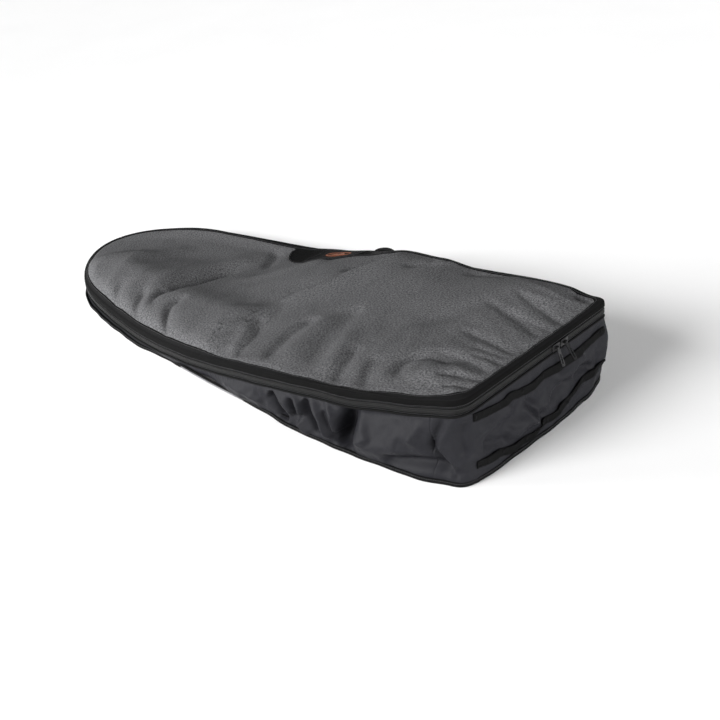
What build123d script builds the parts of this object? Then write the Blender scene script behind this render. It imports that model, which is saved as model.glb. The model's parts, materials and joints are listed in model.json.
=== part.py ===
"""Soft board bag with a deep squared tail, a low rounded nose and a zip-open padded lid.

Millimetres. The bag lies flat: +X runs to the tail, -X to the nose, +Y to the side with the
carry handle, +Z up. The origin is the middle of the underside of the base.
"""
from build123d import *
import math
import os

# Overall size
LENGTH = 1400
TAIL_HALF_WIDTH = 219
TAIL_CORNER_RADIUS = 36
TAIL_CORNER_TURN = 81  # the sides still widen a little as they leave the tail
# Half width at stations measured as a fraction of the length from the tail
SIDE_STATIONS = [(0.2, 254), (0.4, 273), (0.6, 263), (0.8, 224), (0.9, 180), (0.965, 107)]
# Height of the zip line above the floor, at the same kind of station
ZIP_STATIONS = [(0.0, 157), (0.3, 96), (0.6, 34), (0.86, 24), (1.0, 24)]
SIDE_SAMPLES = 16  # points that carry the long sides' curve when it is moved inwards

TAIL_X = LENGTH / 2
NOSE_X = -LENGTH / 2
HINGE_X = -560  # the zip ends here on both sides and the lid folds here
HINGE_GAP = 0.6
TAIL_SEAM_X = 640  # where the side walls are sewn to the tail wall

# Build-up of the base and walls, from the outside in
FABRIC = 1.0
FOAM = 4.0
LINING = 0.8
BASE_FABRIC = 1.5
BASE_FOAM = 5.0
WALL = 1.5  # inset of the outer fabric from the nominal outline
TAPE = 0.8
TRIM_OUT = -1.5  # inset of bindings, coils and piping, which stand proud of the wall
BASE_BINDING_LOW = 0.4
BASE_BINDING_HIGH = 9
SEAM_TAPE = 6

# Ends of the zip, measured along the bag from the hinge line
STOP_START = 1
STOP_END = 11
COIL_START = 12

# Heights measured from the zip line
COIL_GAP = 1.2  # the slider's post passes between the two coil halves
COIL_EDGE = 4.6
TAPE_GAP = 1.5
TAPE_EDGE = 8.5
PIPING_LOW = -13
WALL_TOP = -9
LID_BINDING_LOW = 8
LID_SEAM_LOW = 7.2
LID_LINING_LOW = 11.2
LID_FOAM_LOW = LID_LINING_LOW + LINING
LID_FABRIC_LOW = LID_FOAM_LOW + BASE_FOAM
LID_TOP = LID_FABRIC_LOW + FABRIC
BINDING_CAP = 1.2
BINDING_WIDTH = 9

# Tail webbing
WEBBING = 1.8
WEBBING_HALF_LENGTH = 180
WEBBING_DEPTH = 8  # keeps the strips to the flat stretch of the tail
WEBBING_BANDS = {"tail_webbing_upper": (111, 131), "tail_webbing_lower": (21, 41)}
TACK_SPACING = 60
TACK_LAST = 3  # tacks on each side of the middle one
TACK_WIDTH = 2.5
TACK_MARGIN = 1  # from the strip's edges
TACK_RELIEF = 0.5

# Zip sliders and pulls
SLIDER_Y = {"near": 41, "far": 65}
SLIDER_LENGTH = 22
SLIDER_HEIGHT = 13
SLIDER_CORNER = 2.5
PLATE = 1.2
OUTER_PLATE_OUT = 1.9
INNER_PLATE_IN = 3.1
POST_LENGTH = 7
POST_HEIGHT = 1.2
BAIL_OUT = 6.1
BAR_RADIUS = 0.8
BAIL_LEG = 1.2
BAIL_HALF_HEIGHT = 1.2
BAIL_SPAN = 3.2
EYE_HOLE = 1.0
EYE_RADIUS = 2.2
EYE_HALF_WIDTH = 2.6
PULL_TILT = {"near": 20, "far": 36}
PULL_LENGTH = 36
PULL_WIDTH = 8
PULL_THICK = 1.8
PULL_CORNER = 2.4
PULL_SLOT = (3.4, 20)
PULL_SLOT_DROP = 3  # below the middle of the tab
NECK_DROP = 2.6
NECK_OVERLAP = 1

# Carry handle on the far side
HANDLE_X = 27
HANDLE_AXIS_DROP = 17  # below the zip line, which the handle runs along
HANDLE_AXIS_OUT = 12  # from the wall's nominal outline
HANDLE_SPAN = 124
HANDLE_BULGE = 38
STRAP_WIDTH = 20
STRAP_THICK = 2.4
GRIP_LENGTH = 78
GRIP_THICK = 7
GRIP_WIDTH = 26
HANDLE_TILT = 35
ANCHOR_WIDTH = 25
ANCHOR_THICK = 2
ANCHOR_LOW = 10
ANCHOR_RISE = 1.6  # above the handle's axis
LUG_OUT = 7
LUG_ROOT = 2
LUG_SIZE = (8, 3)

# Reinforcement and badge on the lid
# Inner edge of the reinforcement in plan, from its nose end to its tail end
PATCH_LINE = [(-228, 275), (-219, 205), (-165, 173), (-60, 174), (20, 212), (110, 244), (160, 275)]
PATCH_THICK = 0.8
PATCH_GAP = 0.3  # to the lid's edge binding
BADGE_MIDDLE = (-55, 222)
BADGE_SIZE = (150, 130)  # trimmed to the reinforcement
BADGE_EDGE = 6
BADGE_THICK = 0.6
EMBLEM_MIDDLE = (-58, 226)
EMBLEM_SIZE = (86, 32)
EMBLEM_RING = 4
EMBLEM_THICK = 0.4
# Skyline of the two peaks, as fractions of the emblem's width and depth
EMBLEM_PEAKS = [(-0.3, -0.16), (-0.12, 0.16), (0.0, 0.0), (0.14, 0.24), (0.32, -0.16)]

# Blocks that cut the long pieces reach this far
TALL = 260
WIDE = 700
PAST_END = 20
TRIM_MARGIN = 5  # covers trim that stands proud of the nose and tail


def station_x(fraction):
    return TAIL_X - fraction * LENGTH


def zip_height(x):
    """Height of the zip line at a station along the bag, by the same spline as the solids."""
    line = zip_line(0)
    upright = Line((x, 0), (x, TALL))
    return line.intersect(upright).vertices()[0].Y


def zip_line(rise):
    points = [(station_x(f), z + rise) for f, z in reversed(ZIP_STATIONS)]
    return Spline(points, tangents=[(1, 0), (1, 0.14)])


def side_edges(sign, inset):
    """Tail corner and long side on the far side (sign 1) or the near side (sign -1)."""
    straight = sign * (TAIL_HALF_WIDTH - TAIL_CORNER_RADIUS)
    turn = sign * TAIL_CORNER_TURN
    outer_corner = JernArc((TAIL_X, straight), (0, sign), TAIL_CORNER_RADIUS, turn)
    stations = [(station_x(f), sign * half) for f, half in SIDE_STATIONS]
    outer_points = [outer_corner @ 1] + stations + [(NOSE_X, 0)]
    outer_side = Spline(outer_points, tangents=[outer_corner % 1, (0, -sign)])
    corner = JernArc((TAIL_X - inset, straight), (0, sign), TAIL_CORNER_RADIUS - inset, turn)
    steps = range(1, SIDE_SAMPLES + 1)
    points = [moved_in(outer_side, step / SIDE_SAMPLES, sign * inset) for step in steps]
    side = Spline([corner @ 1] + points, tangents=[corner % 1, (0, -sign)])
    return [corner, side]


def moved_in(edge, where, distance):
    """A point on an edge, moved square to it."""
    point, along = edge @ where, edge % where
    return (point.X - along.Y * distance, point.Y + along.X * distance)


def plan(inset):
    """Plan outline of the bag, moved inwards by an inset."""
    straight = TAIL_HALF_WIDTH - TAIL_CORNER_RADIUS
    tail = Line((TAIL_X - inset, -straight), (TAIL_X - inset, straight))
    return make_face([tail] + side_edges(1, inset) + side_edges(-1, inset))


def ring(outer, inner):
    """Upright wall between two insets of the outline, tall enough for any cut."""
    return extrude(plan(outer), TALL) - extrude(plan(inner), TALL)


def slab(x_low, x_high, y_low=-WIDE, y_high=WIDE, z_low=0.0, z_high=TALL):
    """Block between two corners, used to cut long pieces to their places."""
    size = (x_high - x_low, y_high - y_low, z_high - z_low)
    middle = ((x_low + x_high) / 2, (y_low + y_high) / 2, (z_low + z_high) / 2)
    return Pos(*middle) * Box(*size)


def band(low, high, from_floor=False):
    """Everything between two heights over the zip line, or from a flat height up to one."""
    top = zip_line(high)
    bottom = Line((NOSE_X, low), (TAIL_X, low)) if from_floor else zip_line(low)
    ends = [Line(bottom @ 0, top @ 0), Line(bottom @ 1, top @ 1)]
    profile = Face(Wire([bottom, ends[1], top, ends[0]]))
    between = extrude(Plane.XZ * profile, WIDE, both=True)
    nose_end = slab(NOSE_X - TRIM_MARGIN, NOSE_X, z_low=(bottom @ 0).Y, z_high=(top @ 0).Y)
    tail_end = slab(TAIL_X, TAIL_X + TRIM_MARGIN, z_low=(bottom @ 1).Y, z_high=(top @ 1).Y)
    return between + nose_end + tail_end


ZIP_PART = slab(HINGE_X + HINGE_GAP, TAIL_X + PAST_END)
NOSE_PART = slab(NOSE_X - PAST_END, HINGE_X - HINGE_GAP)
COIL_PART = slab(HINGE_X + COIL_START, TAIL_X + PAST_END)


def wall_pieces(name, outer, inner, low):
    """One layer of the side wall, cut at the seams into near, far, tail and nose pieces."""
    layer = ring(outer, inner) & band(low, WALL_TOP, from_floor=True)
    cuts = {
        "near": slab(HINGE_X, TAIL_SEAM_X, y_high=0),
        "far": slab(HINGE_X, TAIL_SEAM_X, y_low=0),
        "tail": slab(TAIL_SEAM_X, TAIL_X + PAST_END),
        "nose": slab(NOSE_X - PAST_END, HINGE_X),
    }
    return {f"{name}_{side}": layer & cut for side, cut in cuts.items()}


def base_parts():
    """Flat bottom of the bag: fabric, foam and lining, with its piping and inner seam tape."""
    inner = WALL + FABRIC + FOAM + LINING
    foam_top = BASE_FABRIC + BASE_FOAM
    floor = foam_top + LINING
    binding = ring(TRIM_OUT, WALL) & slab(-LENGTH, LENGTH, z_low=BASE_BINDING_LOW, z_high=BASE_BINDING_HIGH)
    seam = ring(inner, inner + FABRIC) & slab(-LENGTH, LENGTH, z_low=floor, z_high=floor + SEAM_TAPE)
    return {
        "base_panel": extrude(plan(WALL), BASE_FABRIC),
        "base_foam": Pos(0, 0, BASE_FABRIC) * extrude(plan(inner), BASE_FOAM),
        "base_lining": Pos(0, 0, foam_top) * extrude(plan(inner), LINING),
        "base_binding": binding,
        "base_seam_tape": seam,
    }


def wall_parts():
    parts = wall_pieces("gusset", WALL, WALL + FABRIC, BASE_FABRIC)
    parts.update(wall_pieces("gusset_foam", WALL + FABRIC, WALL + FABRIC + FOAM, BASE_FABRIC))
    inner = WALL + FABRIC + FOAM
    parts["gusset_lining"] = ring(inner, inner + LINING) & band(BASE_FABRIC, WALL_TOP, from_floor=True)
    return parts


def zip_parts():
    """Both halves of the zip, the piping under it and the stops at its two ends."""
    trim = ring(TRIM_OUT, WALL)
    tape = ring(WALL, WALL + TAPE)
    stop = trim & slab(HINGE_X + STOP_START, HINGE_X + STOP_END) & band(-COIL_EDGE, COIL_EDGE)
    return {
        "zip_piping": trim & band(PIPING_LOW, -TAPE_EDGE) & slab(HINGE_X, TAIL_X + PAST_END),
        "zip_tape_lower": tape & band(WALL_TOP, -TAPE_GAP) & ZIP_PART,
        "zip_coil_lower": trim & band(-COIL_EDGE, -COIL_GAP) & COIL_PART,
        "zip_end_stops": stop,
        "zip_tape_upper": tape & band(TAPE_GAP, TAPE_EDGE) & COIL_PART,
        "zip_coil_upper": trim & band(COIL_GAP, COIL_EDGE) & COIL_PART,
    }


def lid_layers(prefix, part):
    """Fabric, foam, lining and edge binding of the lid, for the moving part or the fixed nose."""
    inner = WALL + TAPE
    edge = ring(TRIM_OUT, WALL) & band(LID_BINDING_LOW, LID_TOP)
    cap = ring(TRIM_OUT, BINDING_WIDTH) & band(LID_TOP, LID_TOP + BINDING_CAP)
    return {
        f"{prefix}_panel": extrude(plan(WALL), TALL) & band(LID_FABRIC_LOW, LID_TOP) & part,
        f"{prefix}_foam": extrude(plan(inner), TALL) & band(LID_FOAM_LOW, LID_FABRIC_LOW) & part,
        f"{prefix}_lining": extrude(plan(inner), TALL) & band(LID_LINING_LOW, LID_FOAM_LOW) & part,
        f"{prefix}_binding": (edge + cap) & part,
    }


def lid_parts():
    inner = WALL + TAPE
    parts = lid_layers("lid", ZIP_PART)
    parts.update(lid_layers("nose", NOSE_PART))
    seam = ring(inner, inner + FABRIC) & band(LID_SEAM_LOW, LID_LINING_LOW)
    parts["lid_seam_tape"] = seam & COIL_PART
    parts["nose_seam_tape"] = ring(WALL, WALL + FABRIC) & band(WALL_TOP, LID_LINING_LOW) & NOSE_PART
    return parts


def patch_parts():
    """Arc-shaped reinforcement at the far edge of the lid, with a badge and its emblem."""
    edge = Spline(PATCH_LINE)
    plate = make_face([edge, Line(edge @ 1, edge @ 0)])
    inside = extrude(plan(BINDING_WIDTH + PATCH_GAP), TALL)
    low = LID_TOP
    patch = extrude(plate, TALL) & inside & band(low, low + PATCH_THICK)
    low += PATCH_THICK
    badge_plan = (Pos(0, BADGE_EDGE) * plate) & (Pos(*BADGE_MIDDLE) * Rectangle(*BADGE_SIZE))
    badge = extrude(badge_plan, TALL) & inside & band(low, low + BADGE_THICK)
    low += BADGE_THICK
    emblem_plan = Pos(*EMBLEM_MIDDLE) * (emblem_ring() + emblem_peaks())
    emblem = extrude(emblem_plan, TALL) & band(low, low + EMBLEM_THICK)
    return {"lid_reinforcement": patch, "lid_badge": badge, "lid_emblem": emblem}


def emblem_ring():
    width, depth = EMBLEM_SIZE
    outer = Ellipse(width / 2, depth / 2)
    inner = Ellipse(width / 2 - EMBLEM_RING, depth / 2 - EMBLEM_RING)
    return outer - inner


def emblem_peaks():
    """Two plain mountain peaks inside the ring."""
    width, depth = EMBLEM_SIZE
    return Polygon(*[(across * width, up * depth) for across, up in EMBLEM_PEAKS], align=None)


def plan_half_width(x):
    upright = Line((x, 1), (x, WIDE))
    return side_edges(1, 0)[1].intersect(upright).vertices()[0].Y


def tail_webbing_parts():
    """Two webbing strips sewn across the tail wall with bar tacks."""
    flat = slab(TAIL_X - WEBBING_DEPTH, TAIL_X + PAST_END, -WEBBING_HALF_LENGTH, WEBBING_HALF_LENGTH)
    strip = ring(WALL - WEBBING, WALL) & flat
    parts = {}
    tacks = []
    for name, (low, high) in WEBBING_BANDS.items():
        parts[name] = strip & slab(0, LENGTH, z_low=low, z_high=high)
        tacks += [bar_tack(step, low, high) for step in range(-TACK_LAST, TACK_LAST + 1)]
    parts["tail_bar_tacks"] = Compound(children=tacks)
    return parts


def bar_tack(step, low, high):
    """One tack across a strip; the last ones are moved in to lie wholly on its ends."""
    face_x = TAIL_X - WALL + WEBBING
    y = step * TACK_SPACING
    if abs(step) == TACK_LAST:
        y -= math.copysign(TACK_WIDTH, step)
    half = TACK_WIDTH / 2
    return slab(face_x, face_x + TACK_RELIEF, y - half, y + half, low + TACK_MARGIN, high - TACK_MARGIN)


def slider(side):
    """Two plates joined by a post, with a bail for the pull on the outer plate."""
    y = SLIDER_Y[side]
    z = zip_height(TAIL_X)
    half = SLIDER_LENGTH / 2
    tall = SLIDER_HEIGHT / 2
    outer_face = OUTER_PLATE_OUT + PLATE
    outer = slab(OUTER_PLATE_OUT, outer_face, -half, half, -tall, tall)
    inner = slab(-INNER_PLATE_IN - PLATE, -INNER_PLATE_IN, -half, half, -tall, tall)
    outer = chamfer(outer.edges().filter_by(Axis.X), SLIDER_CORNER)
    inner = chamfer(inner.edges().filter_by(Axis.X), SLIDER_CORNER)
    post_size = (INNER_PLATE_IN + OUTER_PLATE_OUT, POST_LENGTH, POST_HEIGHT)
    post = Pos((OUTER_PLATE_OUT - INNER_PLATE_IN) / 2, 0, 0) * Box(*post_size)
    body = outer + inner + post
    for sign in (-1, 1):
        leg_in, leg_out = sorted((sign * BAIL_SPAN, sign * (BAIL_SPAN + BAIL_LEG)))
        body += slab(outer_face, BAIL_OUT + BAR_RADIUS, leg_in, leg_out, -BAIL_HALF_HEIGHT, BAIL_HALF_HEIGHT)
    bar = Pos(BAIL_OUT, 0, 0) * Rot(90, 0, 0) * Cylinder(BAR_RADIUS, 2 * BAIL_SPAN)
    return Pos(TAIL_X, y, z) * (body + bar)


def pull(side):
    """Framed tab with an eye round the bail, hanging down and leaning out of the wall."""
    eye = Rot(90, 0, 0) * Cylinder(EYE_RADIUS, 2 * EYE_HALF_WIDTH)
    half = PULL_THICK / 2
    neck = slab(-half, half, -EYE_HALF_WIDTH, EYE_HALF_WIDTH, -NECK_DROP - NECK_OVERLAP, 0)
    tab_middle = -(NECK_DROP + PULL_LENGTH) / 2
    outline = RectangleRounded(PULL_WIDTH, PULL_LENGTH - NECK_DROP, PULL_CORNER)
    window = Pos(0, -PULL_SLOT_DROP) * SlotOverall(PULL_SLOT[1], PULL_SLOT[0], rotation=90)
    tab = extrude(Plane.YZ * (outline - window), half, both=True)
    body = eye + neck + Pos(0, 0, tab_middle) * tab
    body -= Rot(90, 0, 0) * Cylinder(EYE_HOLE, 4 * EYE_HALF_WIDTH)
    hung = Rot(0, -PULL_TILT[side], 0) * body
    return Pos(TAIL_X + BAIL_OUT, SLIDER_Y[side], zip_height(TAIL_X)) * hung


def slider_parts():
    parts = {}
    for side in SLIDER_Y:
        parts[f"slider_{side}"] = slider(side)
        parts[f"pull_{side}"] = pull(side)
    return parts


def handle_arc(thickness, length):
    """Part of a round arch in plan, centred on the strap's own line."""
    half = HANDLE_SPAN / 2
    radius = (half**2 + HANDLE_BULGE**2) / (2 * HANDLE_BULGE)
    middle = (0, HANDLE_BULGE - radius)
    band_ring = Circle(radius + thickness / 2) - Circle(radius - thickness / 2)
    window = Pos(0, HANDLE_BULGE) * Rectangle(length, 2 * HANDLE_BULGE + STRAP_THICK)
    return (Pos(*middle) * band_ring) & window


def handle_parts():
    """Webbing arch with a grip sleeve, on two folded anchors sewn to the far wall."""
    strap = extrude(handle_arc(STRAP_THICK, HANDLE_SPAN), STRAP_WIDTH / 2, both=True)
    sleeve = extrude(handle_arc(GRIP_THICK, GRIP_LENGTH), GRIP_WIDTH / 2, both=True) - strap
    ends = [HANDLE_X - HANDLE_SPAN / 2, HANDLE_X + HANDLE_SPAN / 2]
    heights = [zip_height(x) - HANDLE_AXIS_DROP for x in ends]
    climb = math.degrees(math.atan2(heights[1] - heights[0], HANDLE_SPAN))
    middle = (HANDLE_X, plan_half_width(HANDLE_X) + HANDLE_AXIS_OUT, sum(heights) / 2)
    place = Pos(*middle) * Rot(0, -climb, 0) * Rot(HANDLE_TILT, 0, 0)
    anchors = Compound(children=[anchor(x, axis_z) for x, axis_z in zip(ends, heights)])
    return {"handle_strap": place * strap, "handle_grip": place * sleeve, "handle_anchors": anchors}


def anchor(x, axis_z):
    """Folded webbing tab sewn to the wall, with a lug that the strap turns on."""
    half = ANCHOR_WIDTH / 2
    area = slab(x - half, x + half, 0, WIDE, ANCHOR_LOW, axis_z + ANCHOR_RISE)
    flat = ring(WALL - ANCHOR_THICK, WALL) & area
    half, tall = LUG_SIZE[0] / 2, LUG_SIZE[1] / 2
    root = plan_half_width(x) - LUG_ROOT
    lug = slab(x - half, x + half, root, root + LUG_ROOT + LUG_OUT, axis_z - tall, axis_z + tall)
    return flat + (lug - extrude(plan(WALL), TALL))


def write(parts):
    os.makedirs("parts", exist_ok=True)
    for name, shape in parts.items():
        export_step(Compound(children=list(shape.solids())), f"parts/{name}.step")


write(base_parts())
write(wall_parts())
write(zip_parts())
write(lid_parts())
write(patch_parts())
write(tail_webbing_parts())
write(slider_parts())
write(handle_parts())
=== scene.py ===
"""Looks of the soft board bag: padded heather lid, nylon walls, zip, webbing, handle and badge."""

import json
import math

import bmesh
import bpy
import numpy as np
from mathutils import Matrix, Vector, kdtree, noise

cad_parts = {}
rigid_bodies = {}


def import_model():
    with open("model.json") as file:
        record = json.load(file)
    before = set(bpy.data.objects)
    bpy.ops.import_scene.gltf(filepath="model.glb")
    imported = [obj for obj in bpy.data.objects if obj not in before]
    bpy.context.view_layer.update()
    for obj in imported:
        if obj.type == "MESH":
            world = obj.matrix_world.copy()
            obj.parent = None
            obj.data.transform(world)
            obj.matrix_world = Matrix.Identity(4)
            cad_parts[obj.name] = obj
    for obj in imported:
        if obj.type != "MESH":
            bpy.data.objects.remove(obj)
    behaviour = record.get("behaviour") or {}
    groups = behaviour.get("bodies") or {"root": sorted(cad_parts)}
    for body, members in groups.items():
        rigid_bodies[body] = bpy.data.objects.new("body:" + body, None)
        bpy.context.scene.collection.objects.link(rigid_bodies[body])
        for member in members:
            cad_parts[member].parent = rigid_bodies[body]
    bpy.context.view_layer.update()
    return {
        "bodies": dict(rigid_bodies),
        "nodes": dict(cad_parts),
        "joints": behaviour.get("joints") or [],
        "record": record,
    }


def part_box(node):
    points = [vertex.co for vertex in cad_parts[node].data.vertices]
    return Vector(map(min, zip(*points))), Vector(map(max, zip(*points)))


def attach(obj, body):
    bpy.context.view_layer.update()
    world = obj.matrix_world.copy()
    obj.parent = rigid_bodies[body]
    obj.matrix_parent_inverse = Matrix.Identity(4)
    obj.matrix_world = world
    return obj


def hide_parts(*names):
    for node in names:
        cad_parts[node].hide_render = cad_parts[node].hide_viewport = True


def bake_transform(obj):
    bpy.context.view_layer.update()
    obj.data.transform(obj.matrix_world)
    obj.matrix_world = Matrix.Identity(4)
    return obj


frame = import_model()

MM = 0.001
JOINTS = {joint["name"]: joint for joint in frame["joints"]}
HINGE = Vector(JOINTS["lid_fold"]["pos_m"])
HANDLE_PIVOT = Vector(JOINTS["handle_tilt"]["pos_m"])
HANDLE_AXIS = Vector(JOINTS["handle_tilt"]["axis"])

# Build-up, in metres, over the zip line or in from the outline
LID_TOP = 18 * MM
LID_UNDER = 12 * MM
LINING = 0.8 * MM
WALL_TOP = -9 * MM
WALL_THICK = 5 * MM
BASE_TOP = 6.5 * MM
BASE_FABRIC = 1.5 * MM
CAP_WIDTH = 11 * MM
GRID = 3.6 * MM


# ---------------------------------------------------------------- measures from the frame
def node_points(name):
    obj = frame["nodes"][name]
    return np.array([obj.matrix_world @ v.co for v in obj.data.vertices])


def base_outline():
    """Plan outline of the base, from the nose along the near side, round the tail and back."""
    points = node_points("base_panel")
    flat = points[points[:, 2] < points[:, 2].min() + 0.01 * MM][:, :2]
    flat = np.unique(np.round(flat, 5), axis=0)
    return flat[np.argsort(np.arctan2(flat[:, 1], flat[:, 0]))]


def even_steps(loop, step):
    """A closed loop of plan points, resampled to even steps."""
    closed = np.vstack([loop, loop[:1]])
    run = np.concatenate([[0], np.cumsum(np.linalg.norm(np.diff(closed, axis=0), axis=1))])
    count = int(round(run[-1] / step))
    marks = np.linspace(0, run[-1], count, endpoint=False)
    return np.stack([np.interp(marks, run, closed[:, i]) for i in (0, 1)], 1), marks, run[-1]


def smooth_loop(values, passes):
    for _ in range(passes):
        values = 0.25 * np.roll(values, 1, 0) + 0.5 * values + 0.25 * np.roll(values, -1, 0)
    return values


RIM, RIM_S, RIM_LENGTH = even_steps(base_outline(), 2 * MM)
_along = smooth_loop(np.roll(RIM, -1, 0) - np.roll(RIM, 1, 0), 2)
_along /= np.linalg.norm(_along, axis=1)[:, None]
RIM_OUT = np.stack([_along[:, 1], -_along[:, 0]], 1)
TAIL_X = RIM[:, 0].max()
NOSE_X = RIM[:, 0].min()
TAIL_INDEX = int(np.argmin(np.abs(RIM[:, 1]) - RIM[:, 0] * 10))


def zip_heights():
    """Height of the zip line along the bag, from pairs of points on the two faces of the lid's fabric."""
    pairs = {}
    for x, y, z in node_points("lid_panel"):
        pairs.setdefault((round(x, 4), round(y, 4)), []).append(z)
    tops = sorted((x, max(zs)) for (x, _), zs in pairs.items() if max(zs) - min(zs) > 0.5 * MM)
    x, z = np.array(tops).T
    stations = np.linspace(x[0], x[-1], 60)
    return stations, smooth_line(np.interp(stations, x, z), 2) - LID_TOP


def smooth_line(values, passes):
    for _ in range(passes):
        values[1:-1] = 0.25 * values[:-2] + 0.5 * values[1:-1] + 0.25 * values[2:]
    return values


ZIP_X, ZIP_Z = zip_heights()


def zip_z(x):
    return np.interp(x, ZIP_X, ZIP_Z)


def rim_at(s, out=0.0):
    """Plan points and outward directions at distances along the outline."""
    s = np.asarray(s) % RIM_LENGTH
    wrap = np.append(RIM_S, RIM_LENGTH)
    x, y, nx, ny = (
        np.interp(s, wrap, np.append(column, column[0]))
        for column in (RIM[:, 0], RIM[:, 1], RIM_OUT[:, 0], RIM_OUT[:, 1])
    )
    out = np.asarray(out)
    return np.stack([x + nx * out, y + ny * out], -1), np.stack([nx, ny], -1)


NEAR_HALF = slice(0, TAIL_INDEX)
FAR_HALF = slice(TAIL_INDEX, len(RIM))


def s_near(x):
    """Distance along the outline at which the near side passes a station."""
    return float(np.interp(x, RIM[NEAR_HALF, 0], RIM_S[NEAR_HALF]))


def s_far(x):
    return float(np.interp(-x, -RIM[FAR_HALF, 0], RIM_S[FAR_HALF]))


def half_width(x, inset=0.0):
    """Half width of the outline, moved inwards, at each station."""
    pts, _ = rim_at(RIM_S, -inset)
    far = pts[FAR_HALF][::-1]
    keep = np.concatenate([[True], np.diff(np.maximum.accumulate(far[:, 0])) > 1e-7])
    return np.maximum(np.interp(x, far[keep, 0], far[keep, 1], left=0), 0)


# ---------------------------------------------------------------- shape
def ramp(value, low, high):
    t = np.clip((value - low) / (high - low), 0, 1)
    return t * t * (3 - 2 * t)


def hill(x, knots):
    """Smooth curve through a few given knots."""
    xs, ys = np.array(knots, float).T
    t = np.clip(np.interp(x, xs, np.arange(len(xs))), 0, len(xs) - 1)
    low = np.minimum(t.astype(int), len(xs) - 2)
    f = t - low
    f = f * f * (3 - 2 * f)
    return ys[low] * (1 - f) + ys[low + 1] * f


NEAR_EDGE_DROP = [(-0.7, 0), (-0.3, -0.004), (0.0, -0.005), (0.2, -0.006), (0.35, -0.010), (0.47, -0.015),
                  (0.58, -0.010), (0.7, 0)]
FAR_EDGE_DROP = [(-0.7, 0), (-0.6, -0.002), (-0.42, -0.010), (-0.24, -0.013), (-0.08, -0.003), (0.03, 0.005),
                 (0.13, 0.015), (0.24, 0.008), (0.34, -0.003), (0.50, 0.001), (0.60, -0.002),
                 (0.67, -0.009), (0.7, -0.010)]
NEAR_BASE_OUT = [(-0.7, 0), (-0.42, 0.008), (-0.25, 0.006), (-0.08, -0.010), (0.05, -0.021), (0.2, -0.008),
                 (0.32, 0.006), (0.45, 0.012),
                 (0.6, 0.014), (0.68, 0.002), (0.7, 0)]
TAIL_BASE_OUT = [(-0.2, 0), (-0.15, 0.005), (-0.05, 0.009), (0.05, 0.010), (0.12, 0.006), (0.2, -0.008)]
FAR_BASE_OUT = [(-0.7, 0), (0.5, 0), (0.62, -0.006), (0.7, -0.008)]
S_TAIL = RIM_S[TAIL_INDEX] - RIM[TAIL_INDEX, 1]
TAIL_STRAIGHT = 0.19


def edge_drop(s):
    """How far the soft rim of the lid, zip and wall top sags below its nominal height."""
    pts, _ = rim_at(s)
    flutter = 0.0010 * np.sin(np.asarray(s) * 41) * np.sin(np.asarray(s) * 13 + 1)
    return rim_sag(pts[..., 0], pts[..., 1]) + flutter * (1 - tail_hold(pts[..., 0], pts[..., 1]))


TAIL_HOLD_X = (0.62, 0.69)
TAIL_HOLD_Y = (0.187, 0.232)


def tail_hold(x, y):
    """One along the straight stretch of the tail, where the sliders run, and nothing past the corners."""
    return ramp(x, *TAIL_HOLD_X) * ramp(-np.abs(y), -TAIL_HOLD_Y[1], -TAIL_HOLD_Y[0])


def rim_sag(x, y):
    far = np.clip(0.5 + y / 0.3, 0, 1)
    sag = (1 - far) * hill(x, NEAR_EDGE_DROP) + far * hill(x, FAR_EDGE_DROP)
    return sag * (1 - tail_hold(x, y))


def base_shift(s):
    """How far the soft rim of the base bulges out or tucks under."""
    s = np.asarray(s) % RIM_LENGTH
    pts, _ = rim_at(s)
    shift = np.where(s < S_TAIL - TAIL_STRAIGHT, hill(pts[..., 0], NEAR_BASE_OUT),
                     hill(pts[..., 1], TAIL_BASE_OUT))
    shift = np.where(s > S_TAIL + TAIL_STRAIGHT, hill(pts[..., 0], FAR_BASE_OUT), shift)
    return shift + 0.0011 * np.sin(s * 67) * np.sin(s * 23)


def curve_points(knots, count=40):
    """Catmull-Rom curve through given points."""
    p = np.array(knots, float)
    p = np.vstack([2 * p[0] - p[1], p, 2 * p[-1] - p[-2]])
    t = np.linspace(0, len(p) - 3 - 1e-6, count)
    i = t.astype(int)
    f = (t - i)[:, None]
    a, b, c, d = p[i], p[i + 1], p[i + 2], p[i + 3]
    return 0.5 * (2 * b + (c - a) * f + (2 * a - 5 * b + 4 * c - d) * f**2 + (3 * b - a - 3 * c + d) * f**3)


def crease(u, v, line, height, left, right=None, power=2.0, ends=0.25):
    """Height of one fold: a ridge (or valley) along a line, with its own width on each side."""
    path = curve_points(line)
    du = u[..., None] - path[:, 0]
    dv = v[..., None] - path[:, 1]
    gap = du * du + dv * dv
    nearest = gap.argmin(-1)
    tangent = np.gradient(path, axis=0)
    side = tangent[nearest, 0] * np.take_along_axis(dv, nearest[..., None], -1)[..., 0]
    side -= tangent[nearest, 1] * np.take_along_axis(du, nearest[..., None], -1)[..., 0]
    width = np.where(side > 0, left, right or left)
    where = nearest / (len(path) - 1)
    fade = np.clip(np.minimum(where, 1 - where) / max(ends, 1e-3), 0, 1)
    fade = fade * fade * (3 - 2 * fade) if ends else 1.0
    return height * fade * np.exp(-((np.sqrt(gap.min(-1)) / width) ** power))


def ripples(u, v, seed, octaves, turn=0.0, sharp=False):
    """Uneven cloth surface as layers of noise (scale, height, stretch); sharp ones have crisp ridges."""
    c, q = math.cos(turn), math.sin(turn)
    a, b = np.ravel(u) * c + np.ravel(v) * q, np.ravel(v) * c - np.ravel(u) * q
    total = np.zeros(a.shape)
    for k, (scale, height, stretch) in enumerate(octaves):
        points = zip(a * scale * stretch, b * scale)
        layer = np.array([noise.noise(Vector((m, n, seed + 7.3 * k))) for m, n in points])
        total += height * (0.5 - 2.2 * np.abs(layer) if sharp else layer)
    return total.reshape(np.shape(u))


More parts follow.
